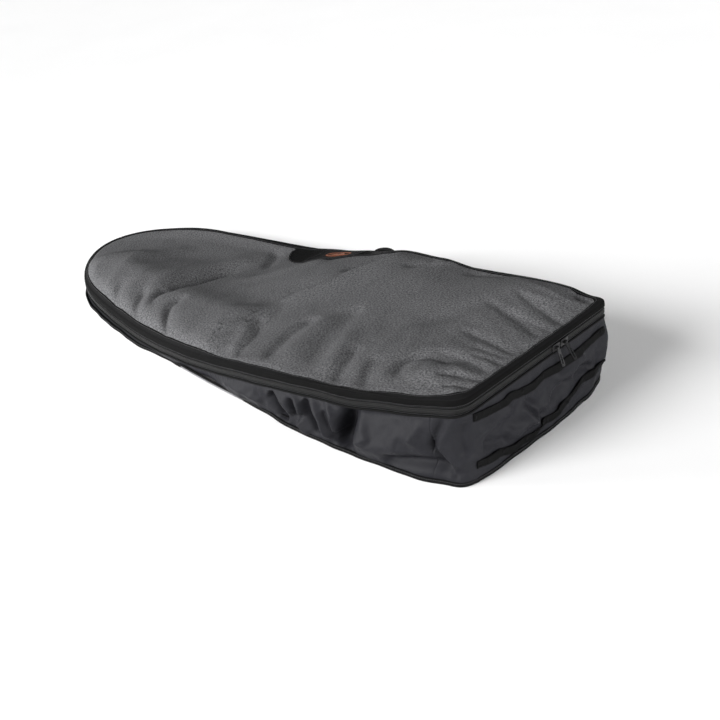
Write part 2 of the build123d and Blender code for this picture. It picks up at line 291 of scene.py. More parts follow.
OUTLINE_TREE = kdtree.KDTree(len(RIM))
for _index, _point in enumerate(RIM):
    OUTLINE_TREE.insert((_point[0], _point[1], 0), _index)
OUTLINE_TREE.balance()


def edge_distance(x, y):
    """Distance from plan points to the outline."""
    pairs = zip(np.ravel(x), np.ravel(y))
    return np.array([OUTLINE_TREE.find((a, b, 0))[2] for a, b in pairs]).reshape(np.shape(x))


def bump_at(x, y, at, size):
    return np.exp(-(((x - at[0]) / size[0]) ** 2) - ((y - at[1]) / size[1]) ** 2)


LID_FOLD_DEPTH = 1.2
# Folds of the lid: line (x, y), height, width on each side, sharpness, fade at the ends
LID_FOLDS = [
    ([(-0.60, -0.02), (-0.45, -0.11), (-0.27, -0.145), (-0.08, -0.14), (0.10, -0.13)], 0.020, 0.070, 0.200,
     2.0, 0.15),
    ([(-0.25, -0.19), (-0.26, -0.09), (-0.275, 0.01), (-0.27, 0.13)], -0.017, 0.030, 0.022, 2.0, 0.3),
    ([(-0.33, -0.15), (-0.33, -0.04), (-0.315, 0.07), (-0.29, 0.2)], 0.007, 0.030, 0.030, 2.0, 0.3),
    ([(-0.285, 0.22), (-0.245, 0.175), (-0.20, 0.10)], -0.005, 0.016, 0.014, 2.0, 0.3),
    ([(0.03, -0.065), (0.055, 0.0), (0.09, 0.06), (0.11, 0.135), (0.135, 0.2), (0.147, 0.265)], 0.008, 0.012,
     0.035, 1.3, 0.2),
    ([(0.07, 0.11), (0.105, 0.19), (0.125, 0.25)], -0.007, 0.018, 0.014, 2.0, 0.2),
    ([(-0.21, -0.005), (-0.095, 0.13), (-0.04, 0.195)], 0.006, 0.022, 0.030, 2.0, 0.3),
    ([(-0.08, -0.265), (-0.135, -0.225), (-0.18, -0.18), (-0.185, -0.125)], -0.008, 0.007, 0.012, 1.5, 0.2),
    ([(-0.17, -0.27), (-0.255, -0.225), (-0.315, -0.15)], -0.007, 0.009, 0.014, 1.6, 0.2),
    ([(-0.225, -0.21), (-0.26, -0.16), (-0.275, -0.12)], -0.006, 0.010, 0.012, 2.0, 0.3),
    ([(-0.30, -0.255), (-0.36, -0.21), (-0.40, -0.15)], -0.005, 0.010, 0.014, 2.0, 0.3),
    ([(0.16, -0.265), (0.132, -0.22), (0.118, -0.18), (0.06, -0.105)], -0.006, 0.007, 0.018, 1.4, 0.2),
    ([(0.12, -0.255), (0.10, -0.20), (0.045, -0.13)], 0.005, 0.016, 0.016, 2.0, 0.3),
    ([(0.23, -0.25), (0.197, -0.176), (0.183, -0.11), (0.19, -0.06)], -0.007, 0.016, 0.020, 2.0, 0.2),
    ([(0.28, -0.25), (0.25, -0.17), (0.225, -0.09), (0.22, -0.02)], 0.005, 0.022, 0.022, 2.0, 0.3),
    ([(0.345, -0.245), (0.295, -0.143), (0.248, -0.04), (0.25, 0.02)], -0.0065, 0.022, 0.026, 2.0, 0.25),
    ([(0.39, -0.245), (0.35, -0.16), (0.315, -0.07)], 0.005, 0.020, 0.022, 2.0, 0.3),
    ([(0.425, -0.24), (0.393, -0.18), (0.363, -0.115)], -0.005, 0.014, 0.016, 2.0, 0.25),
    ([(0.49, -0.235), (0.45, -0.175), (0.43, -0.13)], -0.0045, 0.012, 0.014, 2.0, 0.3),
    ([(0.535, -0.20), (0.505, -0.14), (0.52, -0.11), (0.566, -0.108), (0.617, -0.125)], -0.008, 0.018, 0.014,
     1.8, 0.2),
    ([(0.55, -0.155), (0.60, -0.155), (0.65, -0.175)], 0.005, 0.025, 0.025, 2.0, 0.3),
    ([(0.60, -0.163), (0.64, -0.145), (0.695, -0.145)], -0.006, 0.007, 0.010, 1.5, 0.25),
    ([(0.63, -0.188), (0.66, -0.172), (0.695, -0.165)], -0.004, 0.006, 0.008, 1.5, 0.3),
    ([(0.52, 0.007), (0.60, -0.018), (0.69, -0.045)], -0.0045, 0.008, 0.014, 1.6, 0.2),
    ([(0.515, -0.08), (0.61, -0.094), (0.69, -0.115)], -0.0045, 0.009, 0.012, 1.6, 0.2),
    ([(0.60, -0.069), (0.69, -0.082)], -0.0035, 0.007, 0.009, 1.6, 0.2),
    ([(0.58, -0.045), (0.69, -0.062)], -0.003, 0.006, 0.009, 1.6, 0.25),
    ([(0.46, 0.126), (0.61, 0.061), (0.69, 0.02)], -0.004, 0.010, 0.014, 1.8, 0.2),
    ([(0.505, 0.165), (0.627, 0.112), (0.69, 0.085)], -0.004, 0.008, 0.012, 1.6, 0.2),
    ([(0.56, 0.09), (0.69, 0.05)], -0.003, 0.006, 0.010, 1.6, 0.25),
    ([(0.61, 0.222), (0.65, 0.192), (0.69, 0.183)], -0.010, 0.009, 0.010, 1.8, 0.25),
    ([(0.225, 0.205), (0.27, 0.238), (0.29, 0.27)], 0.005, 0.008, 0.012, 1.5, 0.25),
    ([(0.19, 0.18), (0.235, 0.225), (0.245, 0.262)], -0.006, 0.014, 0.014, 2.0, 0.25),
    ([(0.33, 0.22), (0.40, 0.235), (0.47, 0.235)], -0.006, 0.018, 0.018, 2.0, 0.3),
    ([(-0.05, -0.14), (0.02, -0.02), (0.06, 0.10)], -0.004, 0.026, 0.026, 2.0, 0.3),
    ([(0.40, -0.03), (0.46, 0.05), (0.50, 0.13)], -0.004, 0.030, 0.030, 2.0, 0.3),
    ([(-0.45, -0.12), (-0.44, 0.0), (-0.42, 0.12)], -0.004, 0.035, 0.035, 2.0, 0.3),
    ([(-0.52, -0.08), (-0.50, 0.02), (-0.49, 0.11)], 0.003, 0.025, 0.030, 2.0, 0.3),
]


def lid_height(x, y):
    """Top of the lid's fabric: the CAD height, the pillow of the padding, the sag and the folds."""
    edge = edge_distance(x, y)
    slack = ramp(y, -0.12, 0.12) * ramp(-x, 0.02, 0.22)
    far = ramp(y, -0.05, 0.15)
    crown = ((0.009 - 0.005 * far) * (1 - np.exp(-edge / 0.020))
             + (0.006 + 0.018 * far) * (1 - np.exp(-edge / 0.13)))
    crown = crown * (1 - 0.95 * slack) - 0.007 * slack * ramp(edge, 0.0, 0.06)
    forms = -0.010 * bump_at(x, y, (0.42, 0.02), (0.22, 0.15))
    forms = forms + 0.010 * bump_at(x, y, (-0.36, -0.08), (0.15, 0.11))
    forms = forms + 0.011 * bump_at(x, y, (0.57, 0.185), (0.07, 0.05))
    forms = forms + 0.006 * bump_at(x, y, (0.59, -0.15), (0.06, 0.05))
    sag = rim_sag(x, y) * np.clip(1.15 * np.abs(y) / np.maximum(half_width(x), 0.02), 0, 1) ** 1.5
    folds = sum(crease(x, y, line, LID_FOLD_DEPTH * height, *rest) for line, height, *rest in LID_FOLDS)
    near = ramp(-y, -0.10, 0.20) * ramp(x, -0.62, -0.45) * ramp(-x, -0.56, -0.46)
    tail = ramp(x, 0.46, 0.58)
    streaks = ripples(x, y, 5.0, [(13, 0.0036, 0.18), (27, 0.0012, 0.2)], math.radians(115), True)
    pulls = ripples(x, y, 9.0, [(22, 0.0022, 0.2), (48, 0.0009, 0.22)], math.radians(-20), True)
    fine = ripples(x, y, 3.0, [(6, 0.0040, 0.8), (16, 0.0010, 0.7), (48, 0.0002, 1.0)])
    detail = folds + (0.25 + 0.75 * near) * (1 - tail) * streaks + tail * pulls + fine
    height = zip_z(x) + LID_TOP + crown + forms + sag + detail * (1 - np.exp(-((edge / 0.016) ** 1.5)))
    return height + LID_SETTLED.at(x, y)


# ---------------------------------------------------------------- settling of the cloth
class Field:
    """Values on an even grid, read between its points; the first axis may go round."""

    def __init__(self, start, step, values, loop=False):
        self.start, self.step, self.values, self.loop = start, step, values, loop

    def at(self, a, b):
        rows, columns = self.values.shape
        i = (np.asarray(a, float) - self.start[0]) / self.step[0]
        j = np.clip((np.asarray(b, float) - self.start[1]) / self.step[1], 0, columns - 1.001)
        i = i % rows if self.loop else np.clip(i, 0, rows - 1.001)
        r, c = np.floor(i).astype(int) % rows, j.astype(int)
        u, w = i - np.floor(i), j - c
        after = (r + 1) % rows
        v = self.values
        return (1 - u) * ((1 - w) * v[r, c] + w * v[r, c + 1]) + u * ((1 - w) * v[after, c] + w * v[after,
                                                                                                    c + 1])


LID_SETTLED = Field((0, 0), (1, 1), np.zeros((2, 2)))
WALL_SETTLED = Field((0, 0), (1, 1), np.zeros((2, 2)))


def settle(points, quads, hold, slack):
    """Simulate cloth with some slack, held to its padding, and return how far each point moves."""
    mesh = bpy.data.meshes.new("settling")
    mesh.from_pydata(points.tolist(), [], quads.tolist())
    cloth = bpy.data.objects.new("settling", mesh)
    bpy.context.collection.objects.link(cloth)
    group = cloth.vertex_groups.new(name="hold")
    for level in np.unique(hold):
        group.add([int(i) for i in np.flatnonzero(hold == level)], float(level), "REPLACE")
    modifier = cloth.modifiers.new("settle", "CLOTH")
    settings = modifier.settings
    settings.quality = 5
    settings.mass = 0.3
    settings.tension_stiffness = 15
    settings.compression_stiffness = 15
    settings.shear_stiffness = 6
    settings.bending_stiffness = 0.4
    settings.air_damping = 2
    settings.shrink_min = -slack
    settings.vertex_group_mass = "hold"
    settings.effector_weights.gravity = 0
    modifier.collision_settings.use_collision = False
    modifier.point_cache.frame_start, modifier.point_cache.frame_end = 1, SETTLE_FRAMES
    for frame in range(1, SETTLE_FRAMES + 1):
        bpy.context.scene.frame_set(frame)
    shaped = cloth.evaluated_get(bpy.context.evaluated_depsgraph_get()).to_mesh()
    moved = np.empty(3 * len(points))
    shaped.vertices.foreach_get("co", moved)
    bpy.data.objects.remove(cloth)
    bpy.context.scene.frame_set(1)
    return moved.reshape(-1, 3) - points


SETTLE_FRAMES = 20
SETTLE_LIMIT = 7 * MM


def limited(move):
    return SETTLE_LIMIT * np.tanh(move / SETTLE_LIMIT)


def soften(move):
    """Weighted mean with the neighbours on the grid, to ease the simulation's single-point kinks."""
    for axis in (0, 1):
        move = 0.25 * np.roll(move, 1, axis) + 0.5 * move + 0.25 * np.roll(move, -1, axis)
    return move


def settle_lid():
    """Wrinkles of the lid's canvas, sewn down at its edge and lying slack on the padding."""
    step = 8 * MM
    xs = np.arange(NOSE_X, TAIL_X + step, step)
    reach = float(half_width(xs).max())
    ys = np.arange(-reach - step, reach + 2 * step, step)
    x, y = np.meshgrid(xs, ys, indexing="ij")
    inside = np.abs(y) < half_width(x) - 3 * MM
    order = np.full(x.shape, -1)
    order[inside] = np.arange(inside.sum())
    corners = np.stack([order[:-1, :-1], order[1:, :-1], order[1:, 1:], order[:-1, 1:]], -1).reshape(-1, 4)
    quads = corners[(corners >= 0).all(1)]
    points = np.stack([x, y, lid_height(x, y)], -1)[inside]
    hold = np.where(edge_distance(points[:, 0], points[:, 1]) < CAP_WIDTH + 4 * MM, 1.0, LID_HOLD)
    used = np.zeros(len(points), bool)
    used[quads.ravel()] = True
    hold[~used] = 1.0
    move = np.zeros(x.shape)
    move[inside] = limited(settle(points, quads, hold, LID_SLACK)[:, 2])
    move = soften(move)
    return Field((xs[0], ys[0]), (step, step), move)


def settle_walls():
    """Wrinkles of the walls' nylon between the zip and the base."""
    columns = np.arange(0, RIM_LENGTH, 6.5 * MM)
    step = RIM_LENGTH / len(columns)
    s, f = np.meshgrid(np.arange(len(columns)) * step, np.linspace(0, 1, 17), indexing="ij")
    z = WALL_LOW + (wall_top(s) - WALL_LOW) * f
    points = on_wall(s, z, 0.0).reshape(-1, 3)
    quads = grid_quads(*s.shape)
    last = (len(columns) - 1) * 17 + np.arange(16)
    first = np.arange(16)
    quads = np.vstack([quads, np.stack([last, first, first + 1, last + 1], 1)])
    hold = np.where((f.ravel() < 0.03) | (f.ravel() > 0.97), 1.0, WALL_HOLD)
    move = settle(points, quads, hold, WALL_SLACK).reshape(s.shape + (3,))
    _, normal = rim_at(s.ravel())
    normal = normal.reshape(s.shape + (2,))
    out = limited((move[..., :2] * normal).sum(-1)) * np.clip((wall_top(s) - WALL_LOW) / 0.06, 0.2, 1)
    out[:, 1:-1] = soften(out)[:, 1:-1]
    return Field((0, 0), (step, 1 / 16), out, loop=True)


LID_HOLD, LID_SLACK = 0.55, 0.025
WALL_HOLD, WALL_SLACK = 0.5, 0.04


# ---------------------------------------------------------------- mesh helpers
def make_mesh(name, verts, faces, uv, material, smooth=True):
    """A mesh object from points, faces and one (u, v) in metres for each point or face corner."""
    mesh = bpy.data.meshes.new(name)
    mesh.from_pydata([tuple(v) for v in verts], [], [tuple(f) for f in faces])
    layer = mesh.uv_layers.new(name="UVMap")
    loops = np.empty(len(mesh.loops), dtype=np.int64)
    mesh.loops.foreach_get("vertex_index", loops)
    uv = np.asarray(uv, float)
    corner_uv = uv[loops] if len(uv) == len(verts) else uv
    layer.data.foreach_set("uv", corner_uv.astype(np.float32).ravel())
    if smooth:
        mesh.polygons.foreach_set("use_smooth", [True] * len(mesh.polygons))
    mesh.materials.append(material)
    solid = bmesh.new()
    solid.from_mesh(mesh)
    bmesh.ops.recalc_face_normals(solid, faces=solid.faces)
    solid.to_mesh(mesh)
    solid.free()
    obj = bpy.data.objects.new(name, mesh)
    bpy.context.collection.objects.link(obj)
    return obj


def grid_quads(rows, columns, start=0):
    r, c = np.meshgrid(np.arange(rows - 1), np.arange(columns - 1), indexing="ij")
    a = (start + r * columns + c).ravel()
    return np.stack([a, a + columns, a + columns + 1, a + 1], 1)


def closed_pad(name, outer, inner, uv, material):
    """Closed soft shell between two grids of points, joined round their border."""
    rows, columns = outer.shape[:2]
    count = rows * columns
    faces = [grid_quads(rows, columns), grid_quads(rows, columns, count)[:, ::-1]]
    border = np.concatenate([
        np.arange(columns - 1), columns - 1 + columns * np.arange(rows - 1),
        count - 1 - np.arange(columns - 1), columns * (rows - 1) - columns * np.arange(rows - 1),
    ])
    after = np.roll(border, -1)
    side = np.stack([border, after, after + count, border + count], 1)
    faces.append(side[:, ::-1])
    verts = np.vstack([outer.reshape(-1, 3), inner.reshape(-1, 3)])
    flat_uv = uv.reshape(-1, 2)
    return make_mesh(name, verts, np.vstack(faces), np.vstack([flat_uv, flat_uv]), material)


def sweep(name, section, path, out, up, material, run=None, closed_ends=True):
    """A section of (out, up) points carried along a path, with its own out and up directions."""
    section = np.asarray(section, float)
    n, m = len(path), len(section)
    verts = path[:, None] + out[:, None] * section[None, :, :1] + up[:, None] * section[None, :, 1:]
    rows = np.arange(n - 1)[:, None] * m
    cols = np.arange(m)[None]
    after = (cols + 1) % m
    quads = np.stack([rows + cols, rows + m + cols, rows + m + after, rows + after], -1).reshape(-1, 4)
    if run is None:
        run = np.concatenate([[0], np.cumsum(np.linalg.norm(np.diff(path, axis=0), axis=1))])
    girth = np.concatenate([[0], np.cumsum(np.linalg.norm(np.diff(np.vstack([section, section[:1]]), axis=0),
                                                          axis=1))])
    u = np.stack([run[:-1], run[1:], run[1:], run[:-1]], 1)[:, None].repeat(m, 1)
    v = np.stack([girth[:-1], girth[:-1], girth[1:], girth[1:]], 1)[None].repeat(n - 1, 0)
    uv = np.stack([u, v], -1).reshape(-1, 2)
    faces = [tuple(q) for q in quads]
    if closed_ends:
        faces.append(tuple(range(m)))
        faces.append(tuple(range(n * m - 1, (n - 1) * m - 1, -1)))
        uv = np.vstack([uv, np.zeros((2 * m, 2))])
    return make_mesh(name, verts.reshape(-1, 3), faces, uv, material)


def rounded(out_low, out_high, up_low, up_high, corner, steps=3):
    """Rounded rectangle section, points going round once."""
    points = []
    centres = [
        (out_high - corner, up_high - corner, 0), (out_low + corner, up_high - corner, 90),
        (out_low + corner, up_low + corner, 180), (out_high - corner, up_low + corner, 270),
    ]
    for cx, cy, start in centres:
        for k in range(steps + 1):
            a = math.radians(start + 90 * k / steps)
            points.append((cx + corner * math.cos(a), cy + corner * math.sin(a)))
    return points[::-1]


def rim_path(s, top=True, rise=0.0, out=0.0):
    """Path along the rim at the zip line (or on the base), with out and up directions."""
    shift = np.zeros(len(s)) if top else base_shift(s)
    pts, normal = rim_at(s, shift + out)
    plain, _ = rim_at(s)
    z = zip_z(plain[:, 0]) + edge_drop(s) + rise if top else np.full(len(s), rise)
    path = np.column_stack([pts, z])
    out_dir = np.column_stack([normal, np.zeros(len(s))])
    up_dir = np.tile([0.0, 0.0, 1.0], (len(s), 1))
    return path, out_dir, up_dir


def rim_steps(start, end, step=4 * MM):
    return np.linspace(start, end, max(2, int(round((end - start) / step)) + 1))


ZIP_START = s_near(HINGE.x + 12 * MM)
ZIP_END = s_far(HINGE.x + 12 * MM)


def on_lid(piece):
    """Fabric that is sewn to the base at the nose; its transform is baked into its points, and it is not
    attached to the lid.
    """
    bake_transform(piece)


# ---------------------------------------------------------------- materials
class Nodes:
    """Small helper that adds and joins shader nodes of one material."""

    def __init__(self, name):
        self.material = bpy.data.materials.new(name)
        self.material.use_nodes = True
        self.tree = self.material.node_tree
        self.shader = self.tree.nodes["Principled BSDF"]

    def add(self, kind, inputs=None, **settings):
        node = self.tree.nodes.new(kind)
        for key, value in settings.items():
            setattr(node, key, value)
        for key, value in (inputs or {}).items():
            if isinstance(value, bpy.types.NodeSocket):
                self.tree.links.new(value, node.inputs[key])
            else:
                node.inputs[key].default_value = value
        return node

    def math(self, operation, a, b=0.0, c=0.0):
        return self.add("ShaderNodeMath", {0: a, 1: b, 2: c}, operation=operation).outputs[0]

    def mix(self, factor, a, b):
        node = self.add("ShaderNodeMix", data_type="RGBA")
        for socket, value in ((0, factor), (6, a), (7, b)):
            if isinstance(value, bpy.types.NodeSocket):
                self.tree.links.new(value, node.inputs[socket])
            else:
                node.inputs[socket].default_value = value
        return node.outputs[2]

    def uv(self, scale=(1, 1, 1), turn=0.0):
        source = self.add("ShaderNodeUVMap", uv_map="UVMap").outputs[0]
        mapping = self.add("ShaderNodeMapping", {"Vector": source, "Scale": scale, "Rotation": (0, 0, turn)})
        return mapping.outputs[0]

    def noise(self, vector, scale, detail=2.0, rough=0.5):
        inputs = {"Vector": vector, "Scale": scale, "Detail": detail, "Roughness": rough}
        return self.add("ShaderNodeTexNoise", inputs).outputs["Fac"]

    def wave(self, vector, scale, direction, distortion=0.0, kind="SIN"):
        inputs = {"Vector": vector, "Scale": scale, "Distortion": distortion, "Detail": 1.0}
        node = self.add("ShaderNodeTexWave", inputs, bands_direction=direction, wave_profile=kind)
        return node.outputs["Fac"]

    def finish(self, colour, roughness, height=None, depth=0.0002, strength=1.0, **shader):
        self.tree.links.new(colour, self.shader.inputs["Base Color"])
        if isinstance(roughness, bpy.types.NodeSocket):
            self.tree.links.new(roughness, self.shader.inputs["Roughness"])
        else:
            self.shader.inputs["Roughness"].default_value = roughness
        if height is not None:
            bump = self.add("ShaderNodeBump", {"Height": height, "Distance": depth, "Strength": strength})
            self.tree.links.new(bump.outputs[0], self.shader.inputs["Normal"])
        for key, value in shader.items():
            self.shader.inputs[key.replace("_", " ")].default_value = value
        return self.material


def grey(level, tint=0.0):
    return (level, level, level * (1 + tint), 1)


def woven_height(n, threads):
    """Plain weave: crossing rows of threads, at so many threads to the metre."""
    uv = n.uv()
    warp = n.wave(uv, threads / 6.2832, "X")
    weft = n.wave(uv, threads / 6.2832, "Y")
    return n.math("ADD", warp, weft)


def heather_fabric():
    """Two-tone polyester canvas: light and dark yarns in both directions."""
    n = Nodes("heather_fabric")
    across = n.noise(n.uv((1, 0.16, 1)), 1300, 3, 0.7)
    along = n.noise(n.uv((0.16, 1, 1)), 1300, 3, 0.7)
    coarse = n.noise(n.uv((0.55, 1, 1)), 380, 3, 0.75)
    yarns = n.math("ADD", n.math("ADD", across, along), n.math("MULTIPLY", coarse, 1.8))
    flecks = n.math("MULTIPLY_ADD", yarns, 2.6, -4.44)
    cloudy = n.noise(n.uv(), 14, 4, 0.6)
    tone = n.math("ADD", flecks, n.math("MULTIPLY_ADD", cloudy, 0.3, -0.15))
    clamp = n.add("ShaderNodeClamp", {"Value": tone}).outputs[0]
    colour = n.mix(clamp, grey(0.034, 0.05), grey(0.134, 0.03))
    height = n.math("ADD", woven_height(n, 1100), n.math("MULTIPLY", clamp, 0.8))
    rough = n.math("MULTIPLY_ADD", clamp, 0.1, 0.78)
    return n.finish(colour, rough, height, 0.0004, 0.32, Specular_IOR_Level=0.08)


def nylon_fabric():
    """Smooth coated nylon of the walls and base, with soft creases and a low sheen."""
    n = Nodes("charcoal_nylon")
    patches = n.noise(n.uv(), 22, 5, 0.65)
    colour = n.mix(patches, grey(0.0125, 0.2), grey(0.0155, 0.17))
    crumple = n.noise(n.uv(), 45, 5, 0.6)
    height = n.math("ADD", n.math("MULTIPLY", crumple, 4.0), n.math("MULTIPLY", woven_height(n, 2000), 0.3))
    rough = n.math("MULTIPLY_ADD", patches, 0.12, 0.42)
    return n.finish(colour, rough, height, 0.0004, 0.6, Specular_IOR_Level=0.08)


def ribbed_tape(name, level, rib, rough=0.75, depth=0.0003):
    """Woven tape or webbing: ribs across it, edge cords along it and dusty wear; its colour also follows the
    rib height, with painted shade in the grooves and paler crests.
    """
    n = Nodes(name)
    ribs = n.wave(n.uv(), rib / 6.2832, "X")
    rows = n.wave(n.uv(), 900 / 6.2832, "Y")
    worn = n.noise(n.uv(), 35, 4, 0.7)
    height = n.math("MULTIPLY", ribs, n.math("MULTIPLY_ADD", rows, 0.4, 0.6))
    # painted shade: half the tone is the rib and cord height, darker in the grooves between them; the other
    # half is the dusty wear noise
    tone = n.math("MULTIPLY_ADD", height, 0.5, n.math("MULTIPLY", worn, 0.5))
    colour = n.mix(tone, grey(level * 0.6), grey(level * 1.5, 0.03))
    return n.finish(colour, rough, height, depth, 0.8, Specular_IOR_Level=0.05)


def edge_tape_painted_light(name, level, light, dark):
    """Black edge tape with painted light and shade: a paler band along the top of the cap, blotched by noise,
    and painted shade in the groove at the cap's inner edge and over the fold down its face.
    """
    n = Nodes(name)
    ribs = n.wave(n.uv(), 1600 / 6.2832, "X")
    worn = n.noise(n.uv(), 35, 4, 0.7)
    girth = n.add("ShaderNodeSeparateXYZ", {0: n.uv()}).outputs[1]
    # painted light and shade across the tape's girth: painted shade in the groove at the cap's inner edge,
    # painted light along the cap's top, painted shade over the fold and down the face
    rise = n.add("ShaderNodeMapRange", {0: girth, 1: light[0], 2: light[0] + 0.0015}).outputs[0]
    fall = n.add("ShaderNodeMapRange", {0: girth, 1: light[1] - 0.0015, 2: light[1]}).outputs[0]
    top = n.math("MULTIPLY", rise, n.math("SUBTRACT", 1.0, fall))
    tone = n.math("MULTIPLY", top, n.math("MULTIPLY_ADD", worn, 0.5, 0.6))
    colour = n.mix(tone, grey(dark), grey(level, 0.03))
    return n.finish(colour, 0.75, ribs, 0.0003, 0.8, Specular_IOR_Level=0.05)


def lining_fabric():
    n = Nodes("grey_lining")
    across = n.wave(n.uv(), 1.0 / 0.05 / 6.2832, "X")
    across = n.math("POWER", across, 8.0)
    patches = n.noise(n.uv(), 18, 5, 0.6)
    colour = n.mix(patches, grey(0.16, 0.03), grey(0.22, 0.02))
    colour = n.mix(n.math("MULTIPLY", across, 0.25), colour, grey(0.1))
    height = n.math("ADD", n.math("MULTIPLY", woven_height(n, 1500), 0.3), n.noise(n.uv(), 45, 5, 0.6))
    return n.finish(colour, 0.55, height, 0.0005, 0.5, Specular_IOR_Level=0.3)


def thread(name, colour, shine=0.3):
    n = Nodes(name)
    twist = n.wave(n.uv((1, 1, 1), 0.6), 2600 / 6.2832, "X")
    # painted shade: the colour drops to 55 % in the grooves of the twist
    twist_shaded = n.mix(twist, tuple(0.55 * c for c in colour[:3]) + (1,), colour)
    return n.finish(twist_shaded, 0.55, twist, 0.0002, 0.7, Specular_IOR_Level=shine)


def nylon_coil():
    n = Nodes("nylon_coil")
    dust = n.noise(n.uv(), 300, 3, 0.6)
    return n.finish(n.mix(dust, grey(0.007), grey(0.016)), 0.5, dust, 0.0001, 0.4, Specular_IOR_Level=0.2)


def gunmetal():
    n = Nodes("gunmetal")
    worn = n.noise(n.add("ShaderNodeTexCoord").outputs["Object"], 420, 5, 0.7)
    colour = n.mix(n.math("POWER", worn, 2.0), grey(0.015, 0.04), grey(0.17, 0.02))
    rough = n.math("MULTIPLY_ADD", worn, 0.3, 0.18)
    return n.finish(colour, rough, worn, 0.0001, 0.3, Metallic=0.9)


HEATHER = heather_fabric()
NYLON = nylon_fabric()
BINDING = ribbed_tape("black_binding", 0.006, 1600)
# lid binding: painted shade at the cap's inner edge and on the face, painted light on the cap's top
LID_BINDING = edge_tape_painted_light("lid_binding", 0.009, (0.0025, 0.0125), 0.003)
WEBBING = ribbed_tape("black_webbing", 0.0035, 700, 0.62, 0.0006)
ZIP_TAPE = ribbed_tape("zip_tape", 0.005, 1300)
COIL = nylon_coil()
LINING_CLOTH = lining_fabric()
BLACK_THREAD = thread("black_thread", (0.010, 0.010, 0.011, 1), 0.1)
GREY_THREAD = thread("grey_thread", (0.09, 0.09, 0.095, 1))
RUST_THREAD = thread("rust_thread", (0.26, 0.075, 0.03, 1))
BADGE_CLOTH = ribbed_tape("badge_cloth", 0.010, 1800, 0.7, 0.0002)
NYLON_BLACK = ribbed_tape("black_nylon", 0.005, 2200, 0.6, 0.0002)
METAL = gunmetal()


# ---------------------------------------------------------------- lid
def lid_grid(inset):
    """Stations along the bag and rows across it, closer together towards the edges."""
    ends = (NOSE_X + inset + 0.3 * MM, TAIL_X - inset)
    t = np.linspace(0, 1, int((ends[1] - ends[0]) / GRID))
    t = t - 0.9 * np.sin(2 * np.pi * t) / (2 * np.pi)
    x = ends[0] + (ends[1] - ends[0]) * t
    v = np.linspace(-1, 1, 141)
    v = v + 0.35 * np.sin(np.pi * v) / np.pi
    width = half_width(x, inset)
    return np.repeat(x[:, None], len(v), 1), width[:, None] * v[None]


def on_top(x, y, rise):
    """Points of the lid's top surface, lifted by a little."""
    return np.stack([x, y, lid_height(x, y) + rise], -1)


def make_lid():
    x, y = lid_grid(0.3 * MM)
    top = lid_height(x, y)
    floor = zip_z(x) + LID_UNDER + np.minimum(rim_sag(x, y), 0)
    under = np.minimum(floor, top - 4.5 * MM)
    uv = np.stack([x, y], -1)
    cover = closed_pad("lid_cover", np.stack([x, y, top], -1), np.stack([x, y, under], -1), uv, HEATHER)
    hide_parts("lid_panel", "lid_foam", "nose_panel", "nose_foam")
    on_lid(cover)
    x, y = lid_grid(1.2 * MM)
    top = lid_height(x, y)
    floor = zip_z(x) + LID_UNDER + np.minimum(rim_sag(x, y), 0)
    upper = np.minimum(floor, top - 4.5 * MM) - 0.3 * MM
    quilt = 1.2 * MM * np.abs(np.sin(np.pi * (x - y) / 0.09) * np.sin(np.pi * (x + y) / 0.09)) ** 0.5
    lower = upper - 1.0 * MM - quilt
    lining = closed_pad("lid_inner_lining", np.stack([x, y, upper], -1), np.stack([x, y, lower], -1),
                        np.stack([x, y], -1), LINING_CLOTH)
    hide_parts("lid_lining", "nose_lining")
    on_lid(lining)


# ---------------------------------------------------------------- base
def rim_moved(x, y):
    """Plan points carried along with the base's rim where they are near it."""
    pairs = list(zip(np.ravel(x), np.ravel(y)))
    found = [OUTLINE_TREE.find((a, b, 0)) for a, b in pairs]
    index = np.array([hit[1] for hit in found]).reshape(x.shape)
    gap = np.array([hit[2] for hit in found]).reshape(x.shape)
    shift = base_shift(RIM_S)[index] * np.exp(-gap / 0.02)
    return np.stack([x + RIM_OUT[index, 0] * shift, y + RIM_OUT[index, 1] * shift], -1)


def make_base():
    """Padded base under the wall, and its lining inside."""
    x, y = lid_grid(0.0)
    moved = rim_moved(x, y)
    top = np.full(x.shape + (1,), BASE_FABRIC)
    outer = np.concatenate([moved, top], -1)
    panel = closed_pad("base_fabric", outer, np.concatenate([moved, 0 * top], -1), np.stack([x, y], -1),
                       NYLON)
    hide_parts("base_panel")
    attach(panel, "base")
    x, y = lid_grid(7 * MM)
    quilt = 1.6 * MM * np.abs(np.sin(np.pi * (x - y) / 0.09) * np.sin(np.pi * (x + y) / 0.09)) ** 0.5
    quilt += ripples(x, y, 11.0, [(7, 0.0012, 1.0)])
    top = BASE_TOP + LINING + quilt
    low = np.full(x.shape, BASE_FABRIC + 0.1 * MM)
    pad = closed_pad("base_inner_pad", np.stack([x, y, top], -1), np.stack([x, y, low], -1),
                     np.stack([x, y], -1), LINING_CLOTH)
    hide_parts("base_foam", "base_lining")
    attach(pad, "base")


